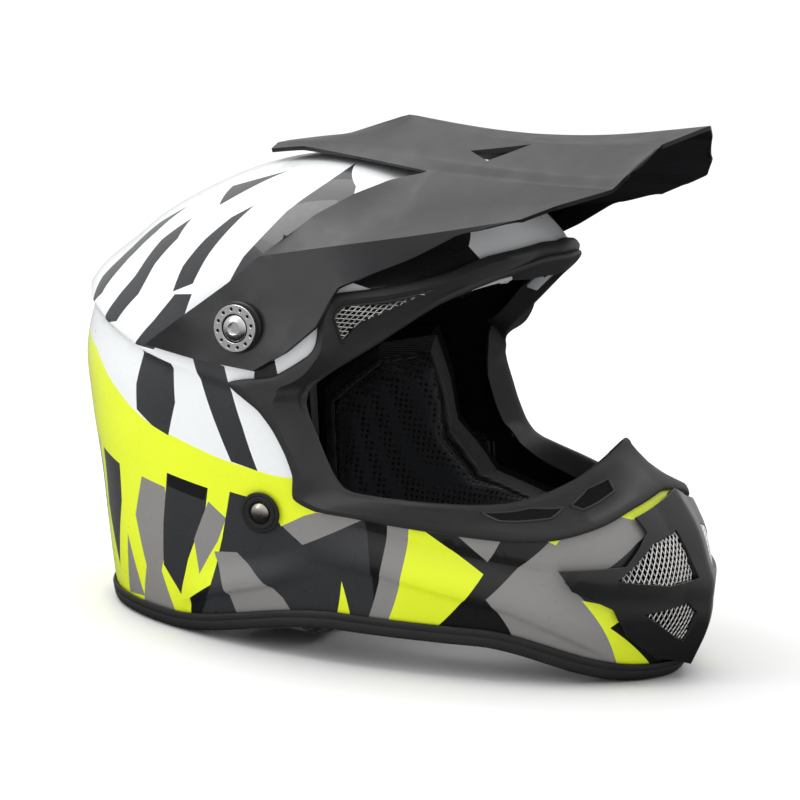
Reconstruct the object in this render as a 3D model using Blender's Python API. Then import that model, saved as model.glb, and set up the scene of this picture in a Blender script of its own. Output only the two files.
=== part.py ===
"""Motocross helmet: fibre shell, peak, eyeport surround, vents, liners, pads, chin strap and hardware.

The helmet stands on its lower edge at z = 0, faces -Y and has its left side at +X. Places on the
shell are given as (angle, height): the angle is measured in plan from the front centreline towards
the left side, in degrees, and the height is above the table, in millimetres. Free points are
(x, forward, height) in millimetres, with forward = -Y.
"""

import math

import bmesh
import bpy
import numpy as np
from mathutils import Vector
from mathutils.geometry import delaunay_2d_cdt

MM = 0.001

# ---------------------------------------------------------------- driving dimensions (mm)
# Plan sections of the outer shell, from the lower edge to the crown:
# height, half width, forward of the widest point, forward of the front, forward of the back,
# fullness of the front curve, fullness of the back curve (2 is an ellipse).
SHELL_SECTIONS = np.array([
    (0, 103, -18, 166, -143, 1.90, 2.3),
    (12, 109, -18, 173, -146, 1.90, 2.3),
    (38, 116, -18, 180, -150, 1.90, 2.3),
    (72, 121, -20, 171, -158, 1.90, 2.2),
    (104, 125, -22, 146, -168, 1.90, 2.1),
    (135, 127, -24, 124, -175, 1.90, 2.0),
    (168, 124, -26, 109, -166, 1.80, 2.0),
    (200, 111, -26, 93, -140, 1.70, 2.0),
    (225, 84, -26, 66, -103, 1.80, 2.0),
    (240, 49, -26, 24, -68, 2.00, 2.0),
    (246, 0, -26, -26, -26, 2.00, 2.0),
], dtype=float)
HALF_WIDTH = 127.0
HALF_LENGTH = 150.0
CROWN_HEIGHT = 246.0

SHELL_THICKNESS = 4.5
FOAM_DEPTH = (5.9, 30.0)          # impact foam, from its outer to its inner face, below the shell
COMFORT_DEPTH = (31.6, 38.0)      # crown comfort liner
CHEEK_FOAM_DEPTH = (15.0, 24.5)   # foam block behind each cheek pad
CHEEK_PAD_DEPTH = (25.4, 46.0)
NECK_ROLL_DEPTH = (9.0, 33.0)
CHIN_FOAM_DEPTH = (8.5, 18.0)
CHIN_COVER_PROUD = (7.5, 1.6)     # the chin vent cover's outer and inner faces, outside the shell
CHIN_MESH_PROUD = (3.4, 2.0)
REAR_RIDGE = (6.0, 169.0, 9.0)    # how far the ridge round the back stands out, its height, its half width

# The lower edge lies on the table at the chin and at the nape and arches over the shoulders.
ARCH_HEIGHT = 17.5
ARCH_REAR = (-75.0, 30.0)         # the arch rises between these forward positions
ARCH_FRONT = (95.0, 168.0)        # and falls between these
TRIM_HEIGHT = 9.5
TRIM_INNER = 7.4                  # the trim's inner wall stands this far inside the shell's face
TRIM_WALL = 2.0

PIVOT = (-28.0, 167.0)            # forward and height of the axis that the peak tilts about
SCREW_SHANK = 2.5
SCREW_HEAD = 12.0
PEAK_HOLE = 3.1
INSERT_BORE = 2.9
INSERT_BARREL = 4.0
INSERT_FACE = 113.7               # x of the insert's inner face
SHELL_HOLE = 7.2                  # wide enough for the insert, which lies square to the tilt axis
BOSS = (13.5, 125.9, 129.6)       # the peak's boss: radius, and where its two faces stand in x
RIVET = (-11.0, 74.0)             # forward and height of the chin-strap rivets
RIVET_SHANK = 2.5
PEAK_THICKNESS = 2.2
STRAP_WIDTH = 25.0
STRAP_THICKNESS = 2.2
STRAP_LOW = 9.0                   # height of the strap where it crosses the neck opening
RING_BAR = 12.0                   # x of the bars of the two D-rings
RING_WIRE = 1.6
RING_OFFSET = 1.9                 # each D-ring's bar stands this far above or below the strap's middle
CENTRE_SHIFT = 5.9                # moves everything back so that the box is centred fore and aft

# ---------------------------------------------------------------- outlines on the shell
# Each row pairs a point of the surround's outer edge on the shell (angle, height) with a point of
# its inner lip (x, forward, height), and says how far the surround laps over the shell.
SURROUND = (
    ((0, 213), (0, 91, 207), 3.5),
    ((11, 213), (22, 87, 206), 3.5),
    ((31, 208), (46, 73, 197.5), 3.5),
    ((44, 199.5), (69, 54, 185), 3.5),
    ((57, 192.5), (82, 36, 169), 3.5),
    ((69, 187), (89, 26, 160), 3.5),
    ((71, 180), (93, 20, 155), 3.5),
    ((72, 164), (98, 13, 149), 3.5),
    ((74, 157), (102, 9, 145), 4.0),
    ((82, 145), (107, 6, 141), 9.0),
    ((90, 141), (110, 4.5, 138.5), 20.0),
    ((93, 138), (112, 4, 135), 27.0),
    ((91, 134), (112, 4, 131), 20.0),
    ((86, 127), (111.5, 6, 125), 9.0),
    ((83, 118), (110.5, 10, 117), 4.0),
    ((81, 107), (109.5, 15, 107), 3.5),
    ((80, 96), (109, 21, 97), 3.5),
    ((80.5, 84), (109, 27, 91), 3.5),
    ((77, 79), (107, 34, 88.5), 3.5),
    ((71, 78), (100, 48, 87), 3.5),
    ((63, 76), (91, 64, 86), 3.5),
    ((53, 74), (77, 83, 85.5), 3.5),
    ((44, 73), (62, 98, 86.5), 3.5),
    ((36, 75), (46, 110, 91), 3.5),
    ((26, 81), (30, 119.5, 98), 3.5),
    ((15, 88.5), (15, 126, 107), 3.5),
    ((0, 94), (0, 132, 117.5), 3.5),
)
FLANGE_DEPTH = 12.0

CHIN_COVER = ((0, 92), (9, 88), (17, 84), (16, 77), (24, 62), (38, 60), (36, 50), (28, 41),
              (27, 36), (24, 27), (14, 14), (0, 10))
UPPER_CHIN_VENT = ((27, 55), (15.5, 72), (7, 76), (4.5, 53), (14, 51.5))
LOWER_CHIN_VENT = ((21, 38), (8, 42), (5, 37), (7, 23), (11, 26))

FOAM_EDGE = ((0, 219), (12, 219), (32, 214), (46, 206), (60, 199.5), (70, 195), (82, 186),
             (100, 184), (106, 162), (114, 148), (128, 116), (128, 50), (155, 48), (180, 48))
COMFORT_EDGE = ((0, 223), (30, 219), (50, 211), (68, 204), (84, 195), (100, 193), (110, 172),
                (118, 153), (132, 119), (136, 72), (155, 64), (180, 62))
CHEEK_EDGE = ((58, 62), (53, 50), (66, 32), (125, 32), (125, 108), (110, 138), (95, 148),
              (91, 122), (89, 97), (80, 72))
NECK_ROLL_EDGE = ((127, 12), (127, 43), (150, 43), (180, 43), (210, 43), (233, 43), (233, 12),
                  (210, 12), (180, 12), (150, 12))
CHIN_FOAM_EDGE = ((0, 70), (20, 64), (46, 62), (46, 26), (20, 17), (0, 14))

# The peak's outer face, as points of its left half: (x, forward, height).
PEAK_RIDGE = ((0, -77, 246.5), (0, -43, 254), (0, -7, 269), (0, 29, 266), (0, 62, 267),
              (0, 103, 271), (0, 135, 277.5), (0, 164, 284))
PEAK_CREASE = (None, None, (4, -4, 267.5), (11, 30, 261), (18, 61, 259.5), (24, 99, 261),
               (27, 128, 264), (30, 152, 265))
PEAK_SHOULDER = ((18, -74, 246), (24, -50, 251), (29, -15, 252.5), (34, 24, 253), (39, 55, 253),
                 (47, 106, 255.5), (52, 128, 257), (52, 144, 260.5))
PEAK_CHANNEL = ((30, -71, 241), (32, -51, 246), (36, -12, 248), (41, 28, 248.5), (45, 62, 249.7),
                (52, 102, 251.5), (56, 124, 253), (58, 139.5, 254))
PEAK_TIP_BUMP = (39, 150, 267)
WING_UPPER_CREASE = ((66, 26, 229.5), (68, 52, 234.5), (72, 80, 239), (76, 102, 242))
WING_LOWER_CREASE = ((106, 14, 212.5), (95, 48, 220.5), (88, 78, 228.5))
WING_REAR_EDGE = ((53, 12, 241), (73, 3, 234.5), (93, -8, 224), (107, -16, 213), (116, -26, 202.5),
                  (123, -38, 188.5), (126.5, -65, 165.5), (123, -85, 149.5))
WING_LOWER_EDGE = ((130, -50, 147.5), (132, -16, 147), (129, 1, 159), (122, 14, 173),
                   (116, 17, 185), (112, 20, 193), (104, 34, 201), (97, 50, 209.5),
                   (90, 72, 224), (84, 103, 235.5))
WING_TIP = (79, 119.5, 244)

# ---------------------------------------------------------------- colours and finishes
FINISHES = {
    "gloss_shell": ((0.80, 0.83, 0.83), 0.15, 0.0),
    "matte_black": ((0.045, 0.045, 0.05), 0.55, 0.0),
    "gloss_black": ((0.015, 0.015, 0.017), 0.12, 0.0),
    "black_rubber": ((0.03, 0.03, 0.03), 0.7, 0.0),
    "black_foam": ((0.02, 0.02, 0.022), 0.9, 0.0),
    "black_fabric": ((0.025, 0.027, 0.03), 0.95, 0.0),
    "aluminium": ((0.75, 0.75, 0.76), 0.25, 1.0),
    "steel": ((0.62, 0.60, 0.57), 0.3, 1.0),
    "silver_mesh": ((0.75, 0.75, 0.73), 0.4, 0.6),
    "grey_plastic": ((0.45, 0.46, 0.47), 0.5, 0.0),
}


def clear_scene():
    for obj in list(bpy.data.objects):
        bpy.data.objects.remove(obj, do_unlink=True)


def finish_material(name):
    material = bpy.data.materials.get(name)
    if material is None:
        colour, roughness, metallic = FINISHES[name]
        material = bpy.data.materials.new(name)
        material.use_nodes = True
        shader = material.node_tree.nodes["Principled BSDF"]
        shader.inputs["Base Color"].default_value = (*colour, 1.0)
        shader.inputs["Roughness"].default_value = roughness
        shader.inputs["Metallic"].default_value = metallic
    return material


# ---------------------------------------------------------------- the shell's surface
def smooth_step(value, low, high):
    share = min(max((value - low) / (high - low), 0.0), 1.0)
    return share * share * (3 - 2 * share)


def section_at(level):
    """The plan section at level 0 (lower edge) to 1 (crown), by a Catmull-Rom spline."""
    rows = SHELL_SECTIONS
    past_crown = rows[-2].copy()
    past_crown[1] = -past_crown[1]
    past_crown[3:5] = 2 * rows[-1][3:5] - past_crown[3:5]
    control = np.vstack([2 * rows[0] - rows[1], rows, past_crown])
    place = min(max(level, 0.0), 1.0) * (len(rows) - 1)
    index = min(int(place), len(rows) - 2)
    u = place - index
    before, start, end, after = control[index:index + 4]
    return 0.5 * (2 * start + (end - before) * u + (2 * before - 5 * start + 4 * end - after) * u**2
                  + (3 * start - before - 3 * end + after) * u**3)


LEVELS = np.linspace(0.0, 1.0, 801)
LEVEL_HEIGHTS = np.array([section_at(level)[0] for level in LEVELS])


def level_of(height):
    return float(np.interp(height, LEVEL_HEIGHTS, LEVELS))


def face_point(angle, level, depth=0.0):
    """A point on the shell's face, or on the similar surface that lies depth mm inside it."""
    height, half_width, middle, front, back, front_power, back_power = section_at(level)
    cosine, sine = math.cos(angle), math.sin(angle)
    inset = max(depth, 0.0)
    if cosine >= 0:
        reach, power = front - middle, front_power
    else:
        reach, power = middle - back, back_power
    power += (2.05 - power) * min(1.0, inset / 20.0)
    x = half_width * math.copysign(abs(sine) ** (2 / power), sine)
    forward = reach * math.copysign(abs(cosine) ** (2 / power), cosine)
    if cosine < 0 and inset < 4:
        size, ridge_height, spread = REAR_RIDGE
        forward -= size * math.exp(-((height - ridge_height) / spread) ** 2) * smooth_step(-cosine, 0.3, 0.95)
    x *= 1 - inset / HALF_WIDTH
    forward *= 1 - inset / HALF_LENGTH
    height -= inset * (max(height, 0.0) / CROWN_HEIGHT) ** 1.5
    return Vector((x, -(middle + forward), height))


def face_normal(angle, level):
    if level > 0.995:
        return Vector((0, 0, 1))
    step = 0.01
    around = face_point(angle + step, level) - face_point(angle - step, level)
    up = face_point(angle, min(level + step, 1)) - face_point(angle, max(level - step, 0))
    return around.cross(up).normalized()


def layer_point(angle, level, depth):
    """Negative depth stands proud of the shell along its normal."""
    if depth < 0:
        return face_point(angle, level) - depth * face_normal(angle, level)
    return face_point(angle, level, depth)


def on_shell(place, depth=0.0):
    """The point at (angle in degrees, height) on the shell, or at a depth below it."""
    return layer_point(math.radians(place[0]), level_of(place[1]), depth)


def walk(place, move):
    """The (angle, height) reached from a place on the shell by moving along it, in mm."""
    angle, level = math.radians(place[0]), level_of(place[1])
    for _ in range(3):
        here = face_point(angle, level)
        target = on_shell(place) + move
        step = 0.01
        around = (face_point(angle + step, level) - face_point(angle - step, level)) / (2 * step)
        up = (face_point(angle, level + step) - face_point(angle, level - step)) / (2 * step)
        slope = np.array([around, up]).T
        change = np.linalg.lstsq(slope, np.array(target - here), rcond=None)[0]
        angle, level = angle + change[0], level + change[1]
    return math.degrees(angle), float(np.interp(level, LEVELS, LEVEL_HEIGHTS))


def place_at(forward, height, side=1):
    """The (angle, height) of the point on one side of the shell at a forward position."""
    section = section_at(level_of(height))
    middle, front, back, front_power, back_power = section[2:7]
    reach, power = (front - middle, front_power) if forward >= middle else (middle - back, back_power)
    share = min(abs(forward - middle) / reach, 1.0) ** (power / 2)
    cosine = math.copysign(share, forward - middle)
    return side * math.degrees(math.acos(cosine)), height


def edge_height(angle):
    """Height of the lower edge at an angle in degrees."""
    forward = -face_point(math.radians(angle), level_of(8.0)).y
    return ARCH_HEIGHT * smooth_step(forward, *ARCH_REAR) * (1 - smooth_step(forward, *ARCH_FRONT))


# ---------------------------------------------------------------- mesh helpers
def new_object(name, finish, vertices, faces, smooth=40):
    mesh = bpy.data.meshes.new(name)
    shift = Vector((0, CENTRE_SHIFT, 0))
    mesh.from_pydata([(Vector(v) + shift) * MM for v in vertices], [], faces)
    obj = bpy.data.objects.new(name, mesh)
    bpy.context.scene.collection.objects.link(obj)
    mesh.materials.append(finish_material(finish))
    edit = bmesh.new()
    edit.from_mesh(mesh)
    bmesh.ops.recalc_face_normals(edit, faces=edit.faces)
    if edit.calc_volume(signed=True) < 0:
        bmesh.ops.reverse_faces(edit, faces=edit.faces)
    edit.to_mesh(mesh)
    edit.free()
    mesh.shade_smooth()
    mesh.set_sharp_from_angle(angle=math.radians(smooth))
    return obj


def mirrored(places):
    return [(-angle, height) for angle, height in reversed(places)]


def both_sides(places):
    """A closed loop from a half outline that starts and ends on the centreline."""
    return list(places) + mirrored(places)[1:-1]


def round_hole(place, radius, count=12):
    normal = face_normal(math.radians(place[0]), level_of(place[1]))
    across = normal.orthogonal().normalized()
    beside = normal.cross(across)
    turns = [2 * math.pi * i / count for i in range(count)]
    return [walk(place, radius * (math.cos(a) * across + math.sin(a) * beside)) for a in turns]


def to_plane(angle, level):
    """The shell flattened: the crown is the origin and the lower edge is the unit circle."""
    return np.array(((1 - level) * math.sin(angle), -(1 - level) * math.cos(angle)))


def from_plane(point):
    return math.atan2(point[0], -point[1]), 1 - math.hypot(*point)


def dense_loop(places, spacing):
    """The loop's points in the plane, with none further apart than spacing mm on the shell."""
    points = []
    for start, end in zip(places, places[1:] + places[:1]):
        turn = (end[0] - start[0] + 180) % 360 - 180
        length = (on_shell(start) - on_shell(end)).length
        parts = max(1, math.ceil(length / spacing))
        for i in range(parts):
            share = i / parts
            angle = start[0] + turn * share
            height = start[1] + (end[1] - start[1]) * share
            points.append(to_plane(math.radians(angle), level_of(height)))
    return np.array(points)


def inside(loop, point):
    ahead = np.roll(loop, -1, axis=0)
    crosses = (loop[:, 1] > point[1]) != (ahead[:, 1] > point[1])
    rise = np.where(ahead[:, 1] == loop[:, 1], 1e-12, ahead[:, 1] - loop[:, 1])
    at = loop[:, 0] + (point[1] - loop[:, 1]) * (ahead[:, 0] - loop[:, 0]) / rise
    return bool(np.count_nonzero(crosses & (point[0] < at)) % 2)


def field_points(spacing):
    """Points spread over the whole shell, about spacing mm apart, alike on both sides."""
    rows = [1.0]
    while rows[-1] > 0.02:
        level, step = rows[-1], 0.002
        while level > 0 and (face_point(2.0, rows[-1]) - face_point(2.0, level)).length < spacing:
            level -= step
        rows.append(level)
    points = [np.zeros(2)]
    for number, level in enumerate(rows[1:]):
        if level <= 0:
            continue
        ring = [face_point(a, level) for a in np.linspace(0, math.pi, 40)]
        half = sum((b - a).length for a, b in zip(ring, ring[1:]))
        count = max(3, round(half / spacing))
        shift = 0.5 * (number % 2)
        for i in range(2 * count):
            points.append(to_plane(math.pi * (i + shift) / count, level))
    return points


def closed_patch(name, finish, outline, holes=(), depths=(0.0, 4.0), spacing=18.0, fine=None):
    """A curved plate of the shell's shape between two depths, bounded by loops of places."""
    loops = [dense_loop(list(loop), fine or spacing * 0.7) for loop in (outline, *holes)]
    border = np.vstack(loops)
    border_points = np.array([face_point(*from_plane(p)) for p in border])

    def in_patch(point):
        return inside(loops[0], point) and not any(inside(hole, point) for hole in loops[1:])

    points = list(border)
    for point in field_points(spacing):
        if in_patch(point):
            away = np.linalg.norm(border_points - np.array(face_point(*from_plane(point))), axis=1)
            if away.min() > 0.6 * spacing:
                points.append(point)
    edges, start = [], 0
    for loop in loops:
        size = len(loop)
        edges += [(start + i, start + (i + 1) % size) for i in range(size)]
        start += size
    made = delaunay_2d_cdt([Vector(p) for p in points], edges, [], 0, 1e-7)
    flat, triangles = made[0], made[2]
    kept = [t for t in triangles if in_patch(sum((np.array(flat[i]) for i in t), np.zeros(2)) / 3)]
    used = sorted({i for t in kept for i in t})
    number = {old: new for new, old in enumerate(used)}
    kept = [tuple(number[i] for i in t) for t in kept]
    where = [from_plane(flat[i]) for i in used]
    count = len(where)
    vertices = [layer_point(*w, depths[0]) for w in where]
    vertices += [layer_point(*w, depths[1]) for w in where]
    faces = kept + [tuple(i + count for i in reversed(t)) for t in kept]
    directed = {(t[i], t[(i + 1) % 3]) for t in kept for i in range(3)}
    faces += [(b, a, a + count, b + count) for a, b in directed if (b, a) not in directed]
    return new_object(name, finish, vertices, faces)


def ring_of(name, finish, sections, smooth=40):
    """A closed ring through sections that all have the same number of points."""
    count, size = len(sections), len(sections[0])
    vertices = [point for section in sections for point in section]
    faces = []
    for i in range(count):
        for j in range(size):
            a, b = i * size, ((i + 1) % count) * size
            faces.append((a + j, a + (j + 1) % size, b + (j + 1) % size, b + j))
    return new_object(name, finish, vertices, faces, smooth)


def turned(name, finish, profile, centre, axis, segments=24, smooth=40):
    """A solid turned about an axis: profile is (distance along the axis, radius) pairs."""
    axis = Vector(axis).normalized()
    across = axis.orthogonal().normalized()
    beside = axis.cross(across)
    centre = Vector(centre)
    ends_closed = profile[0][1] == 0
    rings = [pair for pair in profile if pair[1] > 0]
    vertices = []
    for along, radius in rings:
        for i in range(segments):
            a = 2 * math.pi * i / segments
            vertices.append(centre + along * axis + radius * (math.cos(a) * across + math.sin(a) * beside))
    faces = []
    pairs = len(rings) - 1 if ends_closed else len(rings)
    for k in range(pairs):
        low, high = k * segments, ((k + 1) % len(rings)) * segments
        for i in range(segments):
            j = (i + 1) % segments
            faces.append((low + i, low + j, high + j, high + i))
    if ends_closed:
        faces.append(tuple(range(segments)))
        last = (len(rings) - 1) * segments
        faces.append(tuple(last + i for i in reversed(range(segments))))
    return new_object(name, finish, vertices, faces, smooth)


def prism(name, finish, outline, lift, holes=()):
    """A plate: outline and holes are points on one face, and lift is the way to the other."""
    lift = Vector(lift)
    loops = [[Vector(p) for p in loop] for loop in (outline, *holes)]
    points = [p for loop in loops for p in loop]
    normal = lift.normalized()
    across = (loops[0][1] - loops[0][0]).normalized()
    beside = normal.cross(across)
    flat = [Vector((p.dot(across), p.dot(beside))) for p in points]
    edges, start = [], 0
    for loop in loops:
        edges += [(start + i, start + (i + 1) % len(loop)) for i in range(len(loop))]
        start += len(loop)
    plane_loops, start = [], 0
    for loop in loops:
        plane_loops.append(np.array([flat[start + i][:] for i in range(len(loop))]))
        start += len(loop)
    triangles = delaunay_2d_cdt(flat, edges, [], 0, 1e-7)[2]
    kept = []
    for t in triangles:
        middle = sum((np.array(flat[i][:]) for i in t), np.zeros(2)) / 3
        if inside(plane_loops[0], middle) and not any(inside(h, middle) for h in plane_loops[1:]):
            kept.append(tuple(t))
    count = len(points)
    vertices = points + [p + lift for p in points]
    faces = kept + [tuple(i + count for i in reversed(t)) for t in kept]
    directed = {(t[i], t[(i + 1) % 3]) for t in kept for i in range(3)}
    faces += [(b, a, a + count, b + count) for a, b in directed if (b, a) not in directed]
    return new_object(name, finish, vertices, faces, 30)


def swept(name, finish, path, profile, closed=False, up=(0, 0, 1)):
    """A bar of constant section along a path: profile is (sideways, up) pairs."""
    up = Vector(up)
    path = [Vector(p) for p in path]
    sections = []
    for i, point in enumerate(path):
        before = path[i - 1] if closed or i else point
        after = path[(i + 1) % len(path)] if closed or i < len(path) - 1 else point
        along = (after - before).normalized()
        side = along.cross(up).normalized()
        top = side.cross(along)
        sections.append([point + a * side + b * top for a, b in profile])
    if closed:
        return ring_of(name, finish, sections)
    size = len(profile)
    vertices = [p for section in sections for p in section]
    faces = [tuple(range(size)), tuple(reversed(range(len(vertices) - size, len(vertices))))]
    for i in range(len(path) - 1):
        for j in range(size):
            a, b = i * size, (i + 1) * size
            faces.append((a + j, b + j, b + (j + 1) % size, a + (j + 1) % size))
    return new_object(name, finish, vertices, faces)


def combine(target, tool, operation):
    modifier = target.modifiers.new(operation.lower(), "BOOLEAN")
    modifier.operation = operation
    modifier.solver = "EXACT"
    modifier.object = tool
    tool.hide_render = True
    tool.display_type = "WIRE"


# ---------------------------------------------------------------- shell and edge trim
def surround_rows(parts=2):
    """The surround's rows round the whole eyeport, left half and then right half."""
    left = []
    for start, end in zip(SURROUND, SURROUND[1:]):
        for i in range(parts):
            share = i / parts
            place = tuple(a + (b - a) * share for a, b in zip(start[0], end[0]))
            lip = tuple(a + (b - a) * share for a, b in zip(start[1], end[1]))
            left.append((place, lip, start[2] + (end[2] - start[2]) * share))
    left.append(SURROUND[-1])
    left = [(place, Vector((x, -forward, height)), lap) for place, (x, forward, height), lap in left]
    right = [((-place[0], place[1]), Vector((-lip.x, lip.y, lip.z)), lap) for place, lip, lap in left]
    return left + right[-2:0:-1]


def surround_frames():
    """For each row: its place, outer point, lip, overlap, and the directions along it."""
    rows = surround_rows()
    middles = [(on_shell(place) + lip) / 2 for place, lip, _ in rows]
    frames = []
    for i, (place, lip, lap) in enumerate(rows):
        outer = on_shell(place)
        normal = face_normal(math.radians(place[0]), level_of(place[1]))
        inward = (lip - outer).normalized()
        along = (middles[(i + 1) % len(rows)] - middles[i - 1]).normalized()
        face = along.cross(inward).normalized()
        if face.dot(normal) < 0:
            face = -face
        over = ((lip - outer) - (lip - outer).dot(normal) * normal).normalized()
        frames.append((place, outer, lip, lap, normal, inward, face, over))
    return frames


def eyeport_cut():
    """The shell's own eyeport, which the surround laps over."""
    return [walk(place, lap * over) for place, _, _, lap, _, _, _, over in surround_frames()]


def lower_edge(margin, step=4):
    return [(angle, edge_height(angle) + margin) for angle in range(-180, 180, step)]


def vent_cut(outline, side, grow=1.0):
    """A chin vent's outline on one side, grown or shrunk about its middle."""
    middle = [sum(p[i] for p in outline) / len(outline) for i in (0, 1)]
    return [(side * (middle[0] + (a - middle[0]) * grow), middle[1] + (h - middle[1]) * grow)
            for a, h in outline]


def make_shell():
    holes = [eyeport_cut()]
    for side in (1, -1):
        holes.append(round_hole(place_at(*PIVOT, side), SHELL_HOLE))
        holes.append(round_hole(place_at(*RIVET, side), RIVET_SHANK + 1.7))
        holes.append(vent_cut(UPPER_CHIN_VENT, side, 0.8))
        holes.append(vent_cut(LOWER_CHIN_VENT, side, 0.8))
    closed_patch("outer_shell", "gloss_shell", lower_edge(3.4), holes, (0.0, SHELL_THICKNESS), 17.0, 9.0)


def make_edge_trim():
    sections = []
    for angle in range(-180, 180, 4):
        base = edge_height(angle)
        top = base + TRIM_HEIGHT
        turn = math.radians(angle)

        def at(height, out, level_height, turn=turn):
            point = face_point(turn, level_of(level_height))
            normal = face_normal(turn, level_of(level_height))
            flat_normal = Vector((normal.x, normal.y, 0)).normalized()
            return Vector((point.x, point.y, 0)) + out * flat_normal + Vector((0, 0, height))

        sections.append([
            at(top, 0.9, top), at(top - 1.0, 2.4, top - 1.0), at(base + 1.6, 3.0, base + 1.6),
            at(base, 2.0, base + 1.0), at(base, -TRIM_INNER - TRIM_WALL, base + 1.0),
            at(top, -TRIM_INNER - TRIM_WALL, top), at(top, -TRIM_INNER, top),
            at(base + 1.7, -TRIM_INNER, base + 1.7), at(base + 1.7, 0.9, base + 1.7),
        ])
    ring_of("lower_edge_trim", "black_rubber", sections, 30)


# ---------------------------------------------------------------- eyeport surround and its vents
def make_surround():
    sections = []
    for place, outer, lip, lap, normal, inward, face, over in surround_frames():
        half_place = walk(place, (lap + 1.5) * 0.5 * over)
        lap_place = walk(place, (lap + 1.5) * over)
        half_lap = on_shell(half_place)
        half_normal = face_normal(math.radians(half_place[0]), level_of(half_place[1]))
        full_lap = on_shell(lap_place)
        lap_normal = face_normal(math.radians(lap_place[0]), level_of(lap_place[1]))
        beyond = (lip - full_lap).normalized()
        sections.append([
            outer + 0.95 * normal,
            outer + 2.2 * normal,
            half_lap + 3.0 * half_normal,
            full_lap + 3.2 * lap_normal,
            lip + 1.0 * face,
            lip + 1.0 * inward,
            lip + 1.0 * inward - FLANGE_DEPTH * face,
            lip - 1.0 * inward - FLANGE_DEPTH * face,
            lip - 1.4 * inward - 1.4 * face,
            full_lap + 2.0 * beyond + 1.2 * lap_normal,
            full_lap + 0.95 * lap_normal,
            half_lap + 0.95 * half_normal,
        ])
    ring_of("eyeport_surround", "matte_black", sections, 35)


def make_brow_duct(name, side):
    """A light-grey air duct cover that lies on the inside of the surround's flange, under the brow."""
    frames = surround_frames()
    picked = frames[3:7] if side > 0 else frames[-6:-2]
    vertices = []
    for clear, thick in ((1.5, 0), (1.5, 2.2)):
        for _, _, lip, _, _, inward, face, _ in picked:
            near = lip + (clear + thick) * inward
            vertices += [near - 1.5 * face, near - (FLANGE_DEPTH - 1.0) * face]
    count = 2 * len(picked)
    faces = []
    for base in (0, count):
        for i in range(len(picked) - 1):
            a = base + 2 * i
            faces.append((a, a + 1, a + 3, a + 2))
    border = [2 * i for i in range(len(picked))] + [2 * i + 1 for i in reversed(range(len(picked)))]
    for a, b in zip(border, border[1:] + border[:1]):
        faces.append((a, b, b + count, a + count))
    new_object(name, "grey_plastic", vertices, faces)


def make_chin_vents():
    holes = [vent_cut(outline, side) for outline in (UPPER_CHIN_VENT, LOWER_CHIN_VENT) for side in (1, -1)]
    proud, seat = CHIN_COVER_PROUD
    closed_patch("chin_vent_cover", "gloss_black", both_sides(CHIN_COVER), holes, (-proud, -seat), 11.0)
    for level_name, outline in (("upper", UPPER_CHIN_VENT), ("lower", LOWER_CHIN_VENT)):
        for side_name, side in (("left", 1), ("right", -1)):
            name = "chin_vent_mesh_" + level_name + "_" + side_name
            front, back = CHIN_MESH_PROUD
            closed_patch(name, "silver_mesh", vent_cut(outline, side, 0.9), (), (-front, -back), 13.0)


# ---------------------------------------------------------------- liners and pads
def make_liners():
    closed_patch("impact_foam", "black_foam", both_sides(FOAM_EDGE), (), FOAM_DEPTH, 22.0)
    closed_patch("crown_liner", "black_fabric", both_sides(COMFORT_EDGE), (), COMFORT_DEPTH, 22.0)
    closed_patch("neck_roll", "black_fabric", NECK_ROLL_EDGE, (), NECK_ROLL_DEPTH, 20.0)
    holes = [vent_cut(outline, side, 1.05) for outline in (UPPER_CHIN_VENT, LOWER_CHIN_VENT) for side in (1, -1)]
    closed_patch("chin_bar_foam", "black_foam", both_sides(CHIN_FOAM_EDGE), holes, CHIN_FOAM_DEPTH, 20.0)
    for name, edge in (("left", CHEEK_EDGE), ("right", mirrored(CHEEK_EDGE))):
        closed_patch("cheek_foam_" + name, "black_foam", edge, (), CHEEK_FOAM_DEPTH, 22.0)
        closed_patch("cheek_pad_" + name, "black_fabric", edge, (), CHEEK_PAD_DEPTH, 22.0)


# ---------------------------------------------------------------- the peak and its screws
def peak_point(point, side):
    x, forward, height = point
    return Vector((side * x, -forward, height))


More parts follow.
